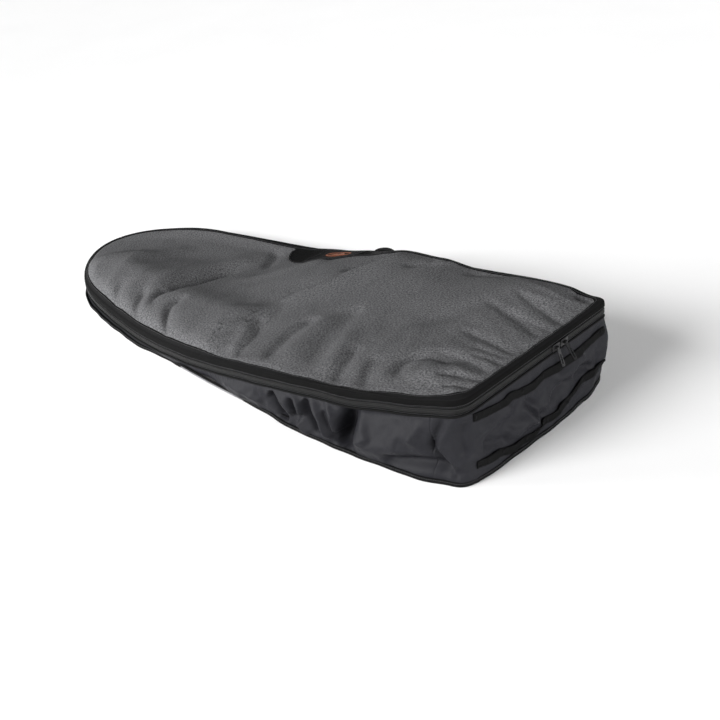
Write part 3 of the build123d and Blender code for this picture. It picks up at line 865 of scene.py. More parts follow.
# ---------------------------------------------------------------- walls
# Folds of the walls: side, line (distance along the bag or across the tail, height), depth outwards
# (negative: a hollow), width on each side, sharpness, fade at the ends
WALL_FOLDS = [
    ("near", [(0.245, 0.095), (0.258, 0.078), (0.30, 0.061), (0.329, 0.035)], 0.011, 0.012, 0.016, 1.6, 0.12),
    ("near", [(0.262, 0.068), (0.280, 0.050), (0.290, 0.025), (0.292, 0.008)], -0.024, 0.010, 0.016, 2.0,
     0.12),
    ("near", [(0.303, 0.088), (0.341, 0.066), (0.349, 0.042)], 0.010, 0.008, 0.010, 1.5, 0.2),
    ("near", [(0.320, 0.074), (0.328, 0.055), (0.345, 0.035)], -0.012, 0.008, 0.008, 2.0, 0.2),
    ("near", [(0.335, 0.030), (0.350, 0.015), (0.362, 0.004)], 0.011, 0.010, 0.012, 1.6, 0.2),
    ("near", [(0.362, 0.098), (0.377, 0.085), (0.403, 0.059), (0.423, 0.015)], 0.015, 0.012, 0.014, 1.5,
     0.12),
    ("near", [(0.402, 0.102), (0.429, 0.068), (0.438, 0.034)], 0.011, 0.007, 0.009, 1.5, 0.15),
    ("near", [(0.352, 0.080), (0.375, 0.050), (0.392, 0.015)], -0.015, 0.010, 0.010, 2.0, 0.15),
    ("near", [(0.405, 0.078), (0.420, 0.050), (0.432, 0.020)], -0.006, 0.004, 0.006, 2.0, 0.15),
    ("near", [(0.468, 0.112), (0.455, 0.060), (0.444, 0.006)], -0.030, 0.022, 0.013, 2.2, 0.10),
    ("near", [(0.486, 0.112), (0.495, 0.075), (0.515, 0.045)], 0.009, 0.012, 0.024, 1.7, 0.2),
    ("near", [(0.50, 0.118), (0.55, 0.121), (0.61, 0.128)], -0.012, 0.014, 0.014, 2.0, 0.2),
    ("near", [(0.30, 0.082), (0.40, 0.092), (0.50, 0.098), (0.61, 0.117)], -0.010, 0.016, 0.012, 2.0, 0.15),
    ("near", [(0.545, 0.085), (0.59, 0.080), (0.615, 0.095)], 0.007, 0.020, 0.026, 2.0, 0.3),
    ("near", [(0.618, 0.122), (0.612, 0.098), (0.59, 0.068)], 0.006, 0.010, 0.010, 1.6, 0.3),
    ("near", [(0.535, 0.016), (0.58, 0.026), (0.645, 0.036), (0.675, 0.020)], -0.018, 0.013, 0.012, 2.0, 0.2),
    ("near", [(0.44, 0.040), (0.50, 0.034), (0.55, 0.046), (0.60, 0.052)], 0.010, 0.022, 0.024, 2.0, 0.3),
    ("near", [(0.672, 0.152), (0.655, 0.118), (0.640, 0.078), (0.650, 0.055), (0.672, 0.030),
              (0.684, 0.008)], -0.012, 0.018, 0.006, 1.5, 0.12),
    ("near", [(0.684, 0.148), (0.668, 0.112), (0.655, 0.080), (0.664, 0.055), (0.684, 0.030)], 0.007, 0.008,
     0.016, 1.6, 0.15),
    ("near", [(0.06, 0.004), (0.12, 0.010), (0.192, 0.016)], 0.008, 0.010, 0.008, 1.8, 0.2),
    ("near", [(-0.10, 0.020), (0.03, 0.030), (0.16, 0.058), (0.24, 0.078)], -0.008, 0.010, 0.010, 2.0, 0.2),
    ("near", [(0.10, 0.030), (0.17, 0.034), (0.24, 0.028)], 0.006, 0.012, 0.012, 1.8, 0.2),
    ("tail", [(-0.196, 0.142), (-0.206, 0.095), (-0.20, 0.050)], -0.009, 0.010, 0.014, 1.8, 0.2),
    ("tail", [(-0.19, 0.104), (-0.13, 0.098), (-0.085, 0.108)], 0.006, 0.012, 0.012, 1.7, 0.2),
    ("tail", [(-0.074, 0.099), (-0.045, 0.060), (-0.018, 0.022)], 0.008, 0.008, 0.014, 1.5, 0.2),
    ("tail", [(-0.060, 0.105), (-0.030, 0.070), (-0.004, 0.036)], -0.006, 0.008, 0.008, 1.8, 0.2),
    ("tail", [(-0.117, 0.079), (-0.085, 0.050), (-0.033, 0.059), (0.032, 0.081)], 0.007, 0.010, 0.012, 1.6,
     0.2),
    ("tail", [(-0.17, 0.070), (-0.13, 0.052), (-0.10, 0.046)], -0.006, 0.010, 0.010, 1.8, 0.2),
    ("tail", [(-0.004, 0.056), (0.03, 0.070), (0.076, 0.078)], -0.009, 0.008, 0.010, 1.7, 0.2),
    ("tail", [(0.02, 0.100), (0.07, 0.094), (0.13, 0.104)], 0.007, 0.012, 0.012, 1.7, 0.2),
    ("tail", [(0.085, 0.086), (0.12, 0.074), (0.155, 0.062)], -0.009, 0.008, 0.012, 1.7, 0.2),
    ("tail", [(0.06, 0.022), (0.11, 0.030), (0.17, 0.026)], -0.006, 0.010, 0.010, 1.8, 0.2),
    ("tail", [(0.188, 0.140), (0.196, 0.090), (0.186, 0.040)], 0.007, 0.012, 0.014, 1.8, 0.2),
    ("far", [(0.60, 0.135), (0.57, 0.080), (0.585, 0.015)], -0.012, 0.018, 0.018, 2.0, 0.15),
    ("far", [(0.52, 0.120), (0.49, 0.065), (0.50, 0.015)], 0.008, 0.012, 0.018, 1.6, 0.15),
    ("far", [(0.43, 0.105), (0.40, 0.055), (0.41, 0.010)], -0.012, 0.016, 0.020, 2.0, 0.15),
    ("far", [(0.34, 0.092), (0.31, 0.050), (0.30, 0.010)], 0.008, 0.012, 0.016, 1.6, 0.15),
    ("far", [(0.26, 0.080), (0.24, 0.040), (0.23, 0.008)], -0.008, 0.014, 0.014, 2.0, 0.15),
    ("far", [(-0.10, 0.022), (-0.18, 0.014), (-0.26, 0.010)], -0.004, 0.008, 0.008, 2.0, 0.15),
]


def s_tail(y):
    return S_TAIL + y


ALONG = {"near": s_near, "tail": s_tail, "far": s_far}
WALL_LINES = [([(ALONG[side](a), z) for a, z in line], *rest) for side, line, *rest in WALL_FOLDS]
WALL_LOW = 2 * MM
WALL_FOLD_DEPTH = 1.25


def wall_top(s):
    plain, _ = rim_at(np.ravel(s))
    return (zip_z(plain[:, 0]) + WALL_TOP + edge_drop(np.ravel(s))).reshape(np.shape(s))


def wall_out(s, z):
    """How far the wall's outer face stands outside the outline at points of distance and height."""
    tall = wall_top(s) - WALL_LOW
    f = np.clip((z - WALL_LOW) / tall, 0, 1)
    round_s = s % RIM_LENGTH
    out = WALL_FOLD_DEPTH * sum(crease(round_s, z, *fold) for fold in WALL_LINES)
    out = out + ripples(round_s, z, 21.0, [(9, 0.0045, 0.45), (24, 0.0020, 0.5)], math.radians(-55), True)
    out = out + ripples(round_s, z, 33.0, [(40, 0.0012, 0.6)], math.radians(35), True)
    belly = np.sin(np.pi * f) ** 0.6
    out = out * belly * np.clip(tall / 0.07, 0.12, 1) + 0.004 * belly * np.clip(tall / 0.1, 0, 1)
    out = out + base_shift(s) * (1 - f) ** 1.2
    return out + WALL_SETTLED.at(s, f)


def on_wall(s, z, rise):
    """Points outside the wall's outer face, at a distance along the outline and a height."""
    plain, normal = rim_at(np.ravel(s))
    flat = plain + normal * (np.ravel(wall_out(s, z)) + np.ravel(rise * np.ones_like(s)))[:, None]
    return np.concatenate([flat.reshape(np.shape(s) + (2,)), z[..., None]], -1)


def wall_surface(s, v):
    """Both faces of the wall: rows from the base (v = 0) to the zip (v = 1)."""
    grid_s, f = np.meshgrid(s, v, indexing="ij")
    z = WALL_LOW + (wall_top(grid_s) - WALL_LOW) * f
    outer = on_wall(grid_s, z, 0.0)
    _, normal = rim_at(grid_s.ravel())
    inner = outer.copy()
    inner[..., :2] -= normal.reshape(f.shape + (2,)) * WALL_THICK
    return outer, inner, np.stack([grid_s, z], -1)


SEAM_X = 0.640
WALLS = {
    "near": (s_near(HINGE.x), s_near(SEAM_X)),
    "tail": (s_near(SEAM_X), s_far(SEAM_X)),
    "far": (s_far(SEAM_X), s_far(HINGE.x)),
    "nose": (s_far(HINGE.x) - RIM_LENGTH, s_near(HINGE.x)),
}


def make_walls():
    rows = np.linspace(0, 1, 40)
    for side, (start, end) in WALLS.items():
        s = rim_steps(start, end, 3 * MM)
        outer, inner, uv = wall_surface(s, rows)
        wall = closed_pad(f"wall_{side}", outer, inner, uv, NYLON)
        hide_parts(f"gusset_{side}", f"gusset_foam_{side}")
        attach(wall, "base")
        lining = wall_lining(side, s, inner, uv)


def wall_lining(side, s, inner, uv):
    """Lining just inside one wall's padding, following its folds."""
    _, normal = rim_at(s)
    normal = np.column_stack([normal, np.zeros(len(s))])[:, None]
    face = inner - normal * 0.4 * MM
    lining = closed_pad(f"wall_lining_{side}", face, face - normal * LINING, uv, LINING_CLOTH)
    if side == "near":
        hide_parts("gusset_lining")
    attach(lining, "base")
    return lining


# ---------------------------------------------------------------- bindings, piping and stitches
def stitch_row(name, path, side, up, pitch, length, width, material):
    """Raised thread stitches laid end to end along a path."""
    run = np.concatenate([[0], np.cumsum(np.linalg.norm(np.diff(path, axis=0), axis=1))])
    marks = np.arange(pitch / 2, run[-1] - pitch / 2, pitch)
    verts, faces, uv = [], [], []
    for mark in marks:
        rows = []
        for part, swell in ((-0.5, 0.25), (-0.25, 1.0), (0.25, 1.0), (0.5, 0.25)):
            at = mark + part * length
            p = np.array([np.interp(at, run, path[:, i]) for i in range(3)])
            a = np.array([np.interp(at, run, side[:, i]) for i in range(3)])
            b = np.array([np.interp(at, run, up[:, i]) for i in range(3)])
            rows.append([p - a * width * swell / 2, p + b * width * swell * 0.6, p + a * width * swell / 2])
        start = len(verts)
        verts.extend(point for row in rows for point in row)
        for r in range(3):
            for c in range(3):
                d = (c + 1) % 3
                faces.append((start + 3 * r + c, start + 3 * r + 3 + c, start + 3 * r + 3 + d,
                              start + 3 * r + d))
        faces.append((start, start + 1, start + 2))
        faces.append((start + 11, start + 10, start + 9))
        for r in range(4):
            uv.extend([(mark + r * length / 4, c * width) for c in range(3)])
    return make_mesh(name, verts, faces, uv, material)


CORNER_S = [RIM_S[np.argmax(RIM[:, 0] - RIM[:, 1])], RIM_S[np.argmax(RIM[:, 0] + RIM[:, 1])]]


def cap_width(s):
    """The binding's cap is wider where it is eased round the tail's corners."""
    bend = sum(np.exp(-(((s - corner) / 0.035) ** 2)) for corner in CORNER_S)
    return CAP_WIDTH + 7 * MM * bend


def make_lid_binding():
    """Tape folded over the lid's edge: a cap that lies on the lid and a face down to the zip."""
    s = rim_steps(0, RIM_LENGTH, 3.5 * MM)
    plain, normal = rim_at(s)
    cap = cap_width(s)
    outs, heights = [], []
    for share, lift in ((1.0, 0.7), (0.93, 1.2), (0.75, 1.5), (0.5, 1.7), (0.25, 1.7)):
        inset = cap * share
        at = plain - normal * inset[:, None]
        outs.append(-inset)
        heights.append(lid_height(at[:, 0], at[:, 1]) + lift * MM)
    edge, low = heights[-1], zip_z(plain[:, 0]) + edge_drop(s) + 7.4 * MM
    for out, share, rise in ((-0.4, 0.0, -0.1), (1.1, 0.0, -1.4), (2.0, 0.15, -2.4), (2.5, 0.5, -1.2),
                             (2.2, 0.85, 0.4), (1.2, 1.0, 0.0)):
        outs.append(np.full(len(s), out * MM))
        heights.append(edge + (low - edge) * share + rise * MM)
    out, z = np.stack(outs, 1), np.stack(heights, 1)
    turn = np.stack([-np.gradient(z, axis=1), np.gradient(out, axis=1)], -1)
    turn /= np.linalg.norm(turn, axis=-1)[..., None]
    faces = []
    for depth in (0.0, 1.1 * MM):
        o, h = out - turn[..., 0] * depth, z - turn[..., 1] * depth
        faces.append(np.concatenate([plain[:, None] + normal[:, None] * o[..., None], h[..., None]], -1))
    girth = np.concatenate([[0], np.cumsum(np.hypot(np.diff(out[0]), np.diff(z[0])))])
    uv = np.stack(np.meshgrid(s, girth, indexing="ij"), -1)
    binding = closed_pad("lid_edge_binding", faces[0], faces[1], uv, LID_BINDING)
    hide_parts("lid_binding", "nose_binding")
    on_lid(binding)
    side = np.column_stack([normal, np.zeros(len(s))])
    up = np.tile([0.0, 0, 1.0], (len(s), 1))
    for name, column, a, b in (("cap", 2, side, up), ("face", 9, up, side)):
        row = stitch_row(f"lid_edge_{name}_stitches", faces[0][:, column] + b * 0.1 * MM, a, b,
                         4.0 * MM, 3.0 * MM, 0.8 * MM, GREY_THREAD)
        on_lid(row)


def make_trims():
    whole = rim_steps(0, RIM_LENGTH, 4 * MM)
    path, out, up = rim_path(whole, top=False)
    section = rounded(-0.4 * MM, 3.4 * MM, 0.4 * MM, 9.6 * MM, 1.5 * MM)
    base_edge = sweep("base_edge_binding", section, path, out, up, BINDING)
    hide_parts("base_binding")
    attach(base_edge, "base")
    seam = stitch_row("base_edge_stitches", path + out * 3.45 * MM + up * 7.6 * MM, up, out,
                      4.2 * MM, 3.1 * MM, 0.8 * MM, GREY_THREAD)
    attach(seam, "base")

    zip_run = rim_steps(ZIP_START, ZIP_END, 3 * MM)
    path, out, up = rim_path(zip_run)
    piping = sweep("zip_piping_cord", rounded(-1.2 * MM, 2.9 * MM, -13 * MM, -8.9 * MM, 1.9 * MM), path, out,
                   up, BINDING)
    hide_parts("zip_piping")
    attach(piping, "base")
    for name, low, high, body, node in (
        ("zip_tape_below", -9.2 * MM, -1.4 * MM, "base", "zip_tape_lower"),
        ("zip_tape_above", 1.4 * MM, 8.6 * MM, "lid", "zip_tape_upper"),
    ):
        tape = sweep(name, rounded(-0.9 * MM, 0.0, low, high, 0.25 * MM, 2), path, out, up, ZIP_TAPE)
        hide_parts(node)
        ride_zip(tape, body)
        low_row = low + 1.5 * MM if body == "base" else high - 2.2 * MM
        row = stitch_row(f"{name}_stitches", path + out * 0.05 * MM + up * low_row, up, out,
                         3.4 * MM, 2.5 * MM, 0.7 * MM, GREY_THREAD)
        ride_zip(row, body)


def ride_zip(piece, body):
    if body == "base":
        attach(piece, "base")
    else:
        on_lid(piece)


def make_coils():
    """Both halves of the coil, tooth by tooth, half a pitch apart."""
    pitch = 2.0 * MM
    for name, sign, offset, body, node in (
        ("zip_coil_below", -1, 0.0, "base", "zip_coil_lower"),
        ("zip_coil_above", 1, 0.5, "lid", "zip_coil_upper"),
    ):
        s = np.arange(ZIP_START + pitch * (1 + offset), ZIP_END - pitch, pitch)
        path, out, up = rim_path(s)
        _, normal = rim_at(s)
        along = np.column_stack([-normal[:, 1], normal[:, 0], np.zeros(len(s))])
        profile = [(-0.1, 4.8), (1.0, 5.0), (1.9, 4.2), (2.1, 2.2), (1.9, 0.2), (1.2, -0.7), (0.2, -0.6),
                   (-0.1, 0.6)]
        verts, faces, uv = [], [], []
        half = 0.62 * MM
        count = len(profile)
        for k in range(len(s)):
            start = len(verts)
            for a in (-1, 1):
                for o, h in profile:
                    shrink = 1.0 if 0 < o < 1.95 else 0.75
                    verts.append(path[k] + out[k] * o * MM + up[k] * sign * h * MM
                                 + along[k] * a * half * shrink)
                    uv.append((s[k] + a * half, h * MM))
            ring = range(count)
            for c in ring:
                d = (c + 1) % count
                quad = (start + c, start + d, start + count + d, start + count + c)
                faces.append(quad if sign > 0 else quad[::-1])
            near_cap = tuple(start + c for c in ring)
            far_cap = tuple(start + count + c for c in ring)
            faces.append(near_cap[::-1] if sign > 0 else near_cap)
            faces.append(far_cap if sign > 0 else far_cap[::-1])
        coil = make_mesh(name, verts, faces, uv, COIL)
        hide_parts(node)
        ride_zip(coil, body)


# ---------------------------------------------------------------- tail webbing
UPPER_WEBBING = [(-0.186, 0.134), (-0.148, 0.127), (-0.122, 0.123), (-0.10, 0.125), (-0.085, 0.125),
                 (-0.069, 0.121),
                 (-0.039, 0.117), (-0.016, 0.117), (0.007, 0.119), (0.06, 0.117), (0.12, 0.118),
                 (0.186, 0.122)]
LOWER_WEBBING = [(-0.186, 0.038), (-0.155, 0.035), (-0.131, 0.032), (-0.113, 0.025), (-0.09, 0.021),
                 (-0.075, 0.023),
                 (-0.058, 0.021), (-0.041, 0.021), (-0.024, 0.028), (-0.011, 0.031), (0.016, 0.028),
                 (0.039, 0.034),
                 (0.064, 0.038), (0.085, 0.043), (0.111, 0.050), (0.136, 0.050), (0.186, 0.052)]
WEBBING_WIDTH = float(np.ptp([corner[2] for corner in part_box("tail_webbing_upper")]))
WEBBING_PUCKER = 0.78  # drawn width of the gathered webbing, as a share of its cut width


def make_tail_webbing():
    tacks = []
    for name, knots, node in (
        ("webbing_upper", UPPER_WEBBING, "tail_webbing_upper"),
        ("webbing_lower", LOWER_WEBBING, "tail_webbing_lower"),
    ):
        line = curve_points(knots, 160)
        y, z = line[:, 0], line[:, 1]
        cell = 0.060
        half = WEBBING_PUCKER * WEBBING_WIDTH / 2
        across = np.linspace(-half, half, 9)
        s = np.repeat(s_tail(y)[:, None], len(across), 1)
        z = z[:, None] + across
        bridge = np.apply_along_axis(smooth_line, 0, wall_out(s, z), 30)
        proud = np.maximum(wall_out(s, z), bridge) - wall_out(s, z)
        gape = (3.2 if "lower" in name else 1.4) * MM * np.abs(np.sin(np.pi * (y + 0.18) / cell))
        proud = proud + gape[:, None]
        edge = 0.5 * MM * (np.abs(across) > 0.95 * half)
        outer = on_wall(s, z, proud + 1.9 * MM - edge)
        inner = on_wall(s, z, proud + 0.15 * MM)
        strip = closed_pad(name, outer, inner, np.stack([s, z], -1), WEBBING)
        path = on_wall(s, z, proud + 1.0 * MM)[:, 4]
        along = np.gradient(path, axis=0)
        along /= np.linalg.norm(along, axis=1)[:, None]
        out = np.tile([1.0, 0, 0], (len(y), 1))
        up = np.cross(out, along)
        up /= np.linalg.norm(up, axis=1)[:, None]
        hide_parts(node)
        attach(strip, "base")
        for edge in (1.5 * MM - half, half - 1.5 * MM):
            row = stitch_row(f"{name}_stitches_{'low' if edge < 0 else 'high'}",
                             path + out * 0.92 * MM + up * edge,
                             up, out, 3.8 * MM, 2.8 * MM, 0.7 * MM, BLACK_THREAD)
            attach(row, "base")
        for k in range(7):
            at = -0.18 + cell * k
            i = int(np.argmin(np.abs(y - at)))
            i = min(max(i, 2), len(y) - 3)
            for leg in range(5):
                shift = along[i] * (leg - 2) * 0.8 * MM + out[i] * 0.95 * MM
                reach = up[i] * (half - 2 * MM)
                tacks.append((path[i] + shift - reach, path[i] + shift + reach))
    verts, faces, uv = [], [], []
    for low, high in tacks:
        direction = (high - low) / np.linalg.norm(high - low)
        side = np.cross([1.0, 0, 0], direction)
        start = len(verts)
        for t in np.linspace(0, 1, 4):
            p = low + (high - low) * t
            swell = 0.5 if t in (0, 1) else 1.0
            verts.extend([p - side * 0.35 * MM, p + np.array([0.55 * MM * swell, 0, 0]),
                          p + side * 0.35 * MM])
            uv.extend([(t * 0.01, 0), (t * 0.01, 0.0004), (t * 0.01, 0.0008)])
        for r in range(3):
            for c in range(3):
                d = (c + 1) % 3
                faces.append((start + 3 * r + c, start + 3 * r + d, start + 3 * r + 3 + d,
                              start + 3 * r + 3 + c))
        faces.append((start + 2, start + 1, start))
        faces.append((start + 9, start + 10, start + 11))
    bars = make_mesh("bar_tack_threads", verts, faces, uv, BLACK_THREAD)
    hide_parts("tail_bar_tacks")
    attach(bars, "base")


# ---------------------------------------------------------------- reinforcement, badge and emblem
BADGE_LOW, BADGE_HIGH = (Vector(c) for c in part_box("lid_badge"))
EMBLEM_LOW, EMBLEM_HIGH = (Vector(c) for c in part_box("lid_emblem"))
FAR_LIMIT = 10 * MM  # the reinforcement runs under the edge binding


def inner_edge(node):
    """The edge of a lid plate that faces the bag's middle, in order from the nose end to the tail end."""
    points = node_points(node)[:, :2]
    points = points[points[:, 1] < half_width(points[:, 0]) - FAR_LIMIT]
    centre = np.array([points[:, 0].mean(), half_width(points[:, 0]).max()])
    away = (points - centre) * (0.3, 1)
    angle = np.arctan2(away[:, 0], -away[:, 1])
    found = []
    for low in np.linspace(angle.min(), angle.max(), 26)[:-1]:
        here = (angle >= low) & (angle <= low + np.ptp(angle) / 25)
        if here.any():
            found.append(points[here][np.argmax(np.linalg.norm(away[here], axis=1))])
    return np.array(found)


def even_line(points, count):
    run = np.concatenate([[0], np.cumsum(np.linalg.norm(np.diff(points, axis=0), axis=1))])
    marks = np.linspace(0, run[-1], count)
    return np.stack([np.interp(marks, run, points[:, i]) for i in (0, 1)], 1)


def lid_plate(name, x, y, rise, thick, material):
    """Thin cloth plate that follows the lid's folded top."""
    top = on_top(x, y, rise + thick)
    low = top.copy()
    low[..., 2] -= thick + 0.6 * MM
    return closed_pad(name, top, low, np.stack([x, y], -1), material)


def between_edges(inner, rows):
    """Grid of plan points from an inner edge out to the lid's far binding."""
    share = np.linspace(0, 1, len(inner))
    far_x = inner[0, 0] + (inner[-1, 0] - inner[0, 0]) * share
    far_y = half_width(far_x) - FAR_LIMIT
    t = np.linspace(0, 1, rows)
    x = inner[:, :1] + (far_x[:, None] - inner[:, :1]) * t
    y = inner[:, 1:] + (far_y[:, None] - inner[:, 1:]) * t
    return x, y


def make_patch():
    inner = even_line(inner_edge("lid_reinforcement"), 110)
    x, y = between_edges(inner, 34)
    patch = lid_plate("arc_reinforcement", x, y, 0.2 * MM, 0.9 * MM, NYLON_BLACK)
    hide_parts("lid_reinforcement")
    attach(patch, "lid")
    path = on_top(inner[2:-2, 0], inner[2:-2, 1] + 1.0 * MM, 1.0 * MM)
    edge_trim("arc_edge", path, 3.0 * MM, BINDING)

    x0, x1 = BADGE_LOW.x, BADGE_HIGH.x
    columns = np.linspace(x0, x1, 60)
    line = inner[np.argsort(inner[:, 0])]
    low = np.interp(columns, line[:, 0], line[:, 1]) + 7 * MM
    far = half_width(columns) - FAR_LIMIT - 2 * MM
    t = np.linspace(0, 1, 30)
    x, y = np.repeat(columns[:, None], len(t), 1), low[:, None] + (far - low)[:, None] * t
    badge = lid_plate("badge_panel", x, y, 1.1 * MM, 0.7 * MM, BADGE_CLOTH)
    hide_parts("lid_badge")
    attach(badge, "lid")
    inset = 2.5 * MM
    border = [(x0 + inset, far[0]), (x0 + inset, low[0] + inset)]
    border += [(a, b + inset) for a, b in zip(columns[2:-2:4], low[2:-2:4])]
    border += [(x1 - inset, low[-1] + inset), (x1 - inset, far[-1])]
    border = even_line(np.array(border), 150)
    edge_trim("badge_edge", on_top(border[:, 0], border[:, 1], 1.9 * MM), 2.0 * MM, NYLON_BLACK)
    make_emblem()


def edge_trim(name, path, half, material):
    """Narrow tape with a row of stitches, laid along a line on the lid."""
    up = np.tile([0.0, 0, 1.0], (len(path), 1))
    along = np.gradient(path, axis=0)
    out = np.cross(along, up)
    out /= np.linalg.norm(out, axis=1)[:, None]
    tape = sweep(f"{name}_tape", rounded(-half, half, -0.4 * MM, 0.9 * MM, 0.55 * MM, 2), path, out, up,
                 material)
    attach(tape, "lid")
    row = stitch_row(f"{name}_stitches", path + up * 0.9 * MM, out, up, 3.6 * MM, 2.6 * MM, 0.7 * MM,
                     GREY_THREAD)
    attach(row, "lid")


def make_emblem():
    """Embroidered ring with two plain peaks in it."""
    wide, deep = EMBLEM_HIGH.x - EMBLEM_LOW.x, EMBLEM_HIGH.y - EMBLEM_LOW.y
    centre = ((EMBLEM_LOW.x + EMBLEM_HIGH.x) / 2, (EMBLEM_LOW.y + EMBLEM_HIGH.y) / 2)
    t = np.linspace(0, 2 * np.pi, 97)
    rows = np.linspace(0, 1, 6)
    x = centre[0] + np.cos(t)[:, None] * (wide / 2 - 4.5 * MM * rows)
    y = centre[1] + np.sin(t)[:, None] * (deep / 2 - 4.0 * MM * rows)
    top = on_top(x, y, 2.0 * MM)
    top[..., 2] += 0.6 * MM * np.sin(np.pi * rows)
    low = on_top(x, y, 1.2 * MM)
    uv = np.stack([np.repeat(t[:, None] * 0.02, len(rows), 1), np.repeat(rows[None] * 0.004, len(t), 0)], -1)
    ring = closed_pad("emblem_ring", top, low, uv, RUST_THREAD)
    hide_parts("lid_emblem")
    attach(ring, "lid")
    skyline = [(-0.32, -0.18), (-0.13, 0.18), (0.0, 0.0), (0.14, 0.26), (0.34, -0.18)]
    u = np.linspace(-0.31, 0.33, 61)
    crest = np.interp(u, [p[0] for p in skyline], [p[1] for p in skyline])
    x = np.repeat(centre[0] + (u * wide)[:, None], len(rows), 1)
    y = centre[1] + deep * (-0.19 + (crest + 0.195)[:, None] * rows)
    top = on_top(x, y, 2.3 * MM)
    low = top.copy()
    low[..., 2] -= 1.0 * MM
    peaks = closed_pad("emblem_peaks", top, low, np.stack([x, y], -1), RUST_THREAD)
    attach(peaks, "lid")




# ---------------------------------------------------------------- handle
HANDLE_SPAN = 0.124
HANDLE_BULGE = 0.038
HANDLE_TILT = math.radians(35)


def handle_frame():
    """Rotation from the handle's flat plan to its tilted place on the far wall."""
    climb = math.atan2(HANDLE_AXIS.z, HANDLE_AXIS.x)
    return Matrix.Rotation(-climb, 3, "Y") @ Matrix.Rotation(HANDLE_TILT, 3, "X")


def arch(count, limit=1.0):
    half = HANDLE_SPAN / 2
    radius = (half**2 + HANDLE_BULGE**2) / (2 * HANDLE_BULGE)
    reach = math.asin(half * limit / radius)
    a = np.linspace(-reach, reach, count)
    points = np.column_stack([radius * np.sin(a), HANDLE_BULGE - radius + radius * np.cos(a), 0 * a])
    normal = np.column_stack([np.sin(a), np.cos(a), 0 * a])
    turn = np.array(handle_frame())
    place = np.array(HANDLE_PIVOT)
    up = np.tile(turn @ np.array([0, 0, 1.0]), (count, 1))
    return points @ turn.T + place, normal @ turn.T, up


def make_handle():
    path, out, up = arch(60, 0.97)
    gather = (1 - 0.35 * np.abs(np.linspace(-1, 1, 60)) ** 10)[:, None]
    strap = sweep("handle_webbing", rounded(-1.2 * MM, 1.2 * MM, -10 * MM, 10 * MM, 0.9 * MM), path, out,
                  up * gather, WEBBING)
    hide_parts("handle_strap")
    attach(strap, "handle")
    for edge in (-8.0, 8.0):
        row = stitch_row(f"handle_stitches_{'low' if edge < 0 else 'high'}",
                         path + out * 1.2 * MM + up * gather * edge * MM, up, out,
                         3.6 * MM, 2.7 * MM, 0.7 * MM, BLACK_THREAD)
        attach(row, "handle")
    path, out, up = arch(48, 0.62)
    t = np.linspace(-1, 1, len(path))
    section = np.array(rounded(-3.6 * MM, 3.6 * MM, -13 * MM, 13 * MM, 3.2 * MM, 4))
    swell = (1 - 0.28 * np.abs(t) ** 6)[:, None]
    wrinkle = 1 + 0.03 * np.sin(t * 38)[:, None]
    grip = sweep("handle_grip_sleeve", section, path, out * swell * wrinkle, up * swell, BADGE_CLOTH)
    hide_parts("handle_grip")
    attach(grip, "handle")
    make_anchors()


def make_anchors():
    low, high = (Vector(c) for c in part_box("handle_anchors"))
    half = 12.5 * MM
    for name, x in (("nose", low.x + half), ("tail", high.x - half)):
        s_mid = s_far(x)
        s = rim_steps(s_mid - half, s_mid + half, 1.5 * MM)
        pts, normal = rim_at(s)
        axis_z = HANDLE_PIVOT.z + (x - HANDLE_PIVOT.x) * HANDLE_AXIS.z / HANDLE_AXIS.x
        rows = np.linspace(10 * MM, axis_z + 3 * MM, 24)
        proud = (1.6 * MM + 0.5 * MM * np.sin(rows * 300))[None, :, None]
        tall = float(zip_z(x)) + WALL_TOP
        belly = (0.0075 * np.sin(np.pi * np.clip(rows / tall, 0, 1)) ** 0.8)[None, :, None]
        flat = np.concatenate([np.repeat(pts[:, None], len(rows), 1) + normal[:, None] * (proud + belly),
                               np.repeat(rows[None, :, None], len(s), 0)], -1)
        normal3 = np.column_stack([normal, np.zeros(len(s))])[:, None]
        uv = np.stack(np.meshgrid(s, rows, indexing="ij"), -1)[..., ::-1]
        tab = closed_pad(f"handle_anchor_{name}", flat, flat - normal3 * 2.4 * MM, uv, WEBBING)
        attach(tab, "base")
        middle = len(s) // 2
        root = np.array([*pts[middle], axis_z])
        out = np.array([*normal[middle], 0.0])
        path = root + out * np.linspace(1.5 * MM, 7.0 * MM, 8)[:, None]
        side = np.array([-out[1], out[0], 0.0])
        lug = sweep(f"handle_lug_{name}", rounded(-4 * MM, 4 * MM, -1.5 * MM, 1.5 * MM, 1.0 * MM), path,
                    np.tile(side, (8, 1)), np.tile([0.0, 0, 1.0], (8, 1)), WEBBING)
        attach(lug, "base")
    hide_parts("handle_anchors")


# ---------------------------------------------------------------- small parts that keep their CAD shape
def finish_cad_nodes():
    looks = {
        "slider_near": METAL, "slider_far": METAL, "pull_near": METAL, "pull_far": METAL,
        "zip_end_stops": COIL,
        "base_seam_tape": BINDING, "lid_seam_tape": BINDING, "nose_seam_tape": BINDING,
    }
    for name, material in looks.items():
        mesh = frame["nodes"][name].data
        mesh.materials.clear()
        mesh.materials.append(material)


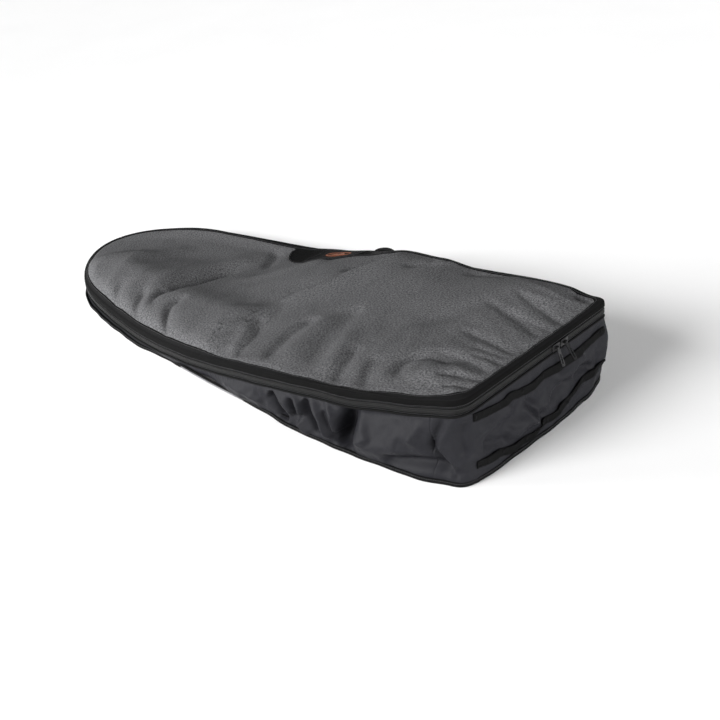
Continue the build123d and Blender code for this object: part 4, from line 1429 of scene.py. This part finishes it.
# ---------------------------------------------------------------- stage
def make_stage():
    bpy.ops.mesh.primitive_plane_add(size=80, location=(0, 0, -0.0006))
    floor = bpy.context.object
    floor.name = "floor"
    n = Nodes("pale_floor")
    colour = n.mix(n.noise(n.add("ShaderNodeTexCoord").outputs["Object"], 3.0), grey(0.90), grey(0.93))
    floor.data.materials.append(n.finish(colour, 0.9))
    world = bpy.data.worlds.new("studio")
    world.use_nodes = True
    world.node_tree.nodes["Background"].inputs["Color"].default_value = (1, 1, 1, 1)
    world.node_tree.nodes["Background"].inputs["Strength"].default_value = 0.15
    bpy.context.scene.world = world
    bpy.context.scene.view_settings.view_transform = "Standard"
    add_sun("key", -20, 25, 34, 4.7)
    add_sun("tail_fill", 92, 10, 40, 5.0)
    add_softbox("nose_softbox", (-1.0, -1.4, 0.62), (-0.25, -0.2, 0.05), 0.6, 26)


def add_sun(name, azimuth, elevation, softness, strength):
    """Soft distant light from an azimuth (0 is the near side, 90 the tail) and an elevation."""
    data = bpy.data.lights.new(name, "SUN")
    data.angle = math.radians(softness)
    data.energy = strength
    lamp = bpy.data.objects.new(name, data)
    az, el = math.radians(azimuth), math.radians(elevation)
    towards = Vector((math.sin(az) * math.cos(el), -math.cos(az) * math.cos(el), math.sin(el)))
    lamp.location = towards * 4
    lamp.rotation_euler = towards.to_track_quat("Z", "Y").to_euler()
    bpy.context.collection.objects.link(lamp)


def add_softbox(name, place, aim, size, power):
    """Square light close to the nose end of the near side."""
    data = bpy.data.lights.new(name, "AREA")
    data.shape = "SQUARE"
    data.size = size
    data.energy = power
    lamp = bpy.data.objects.new(name, data)
    lamp.location = place
    lamp.rotation_euler = (Vector(place) - Vector(aim)).to_track_quat("Z", "Y").to_euler()
    bpy.context.collection.objects.link(lamp)


def make_camera():
    azimuth, elevation, roll = math.radians(48.88), math.radians(30.82), math.radians(-7.61)
    target, distance = Vector((0.3222, -0.0825, 0.0613)), 2.0025
    back = Vector((
        math.sin(azimuth) * math.cos(elevation), -math.cos(azimuth) * math.cos(elevation), math.sin(elevation)
    ))
    right = (-back).cross(Vector((0, 0, 1))).normalized()
    up = right.cross(-back)
    right, up = (
        math.cos(roll) * right + math.sin(roll) * up,
        -math.sin(roll) * right + math.cos(roll) * up,
    )
    data = bpy.data.cameras.new("camera")
    data.lens = 50.78
    data.sensor_width = 36
    camera = bpy.data.objects.new("camera", data)
    turn = Matrix((right, up, back)).transposed().to_4x4()
    camera.matrix_world = Matrix.Translation(target + back * distance) @ turn
    bpy.context.collection.objects.link(camera)
    bpy.context.scene.camera = camera


LID_SETTLED = settle_lid()
WALL_SETTLED = settle_walls()
make_lid()
make_base()
make_walls()
make_lid_binding()
make_trims()
make_coils()
make_tail_webbing()
make_patch()
make_handle()
finish_cad_nodes()
make_stage()
make_camera()
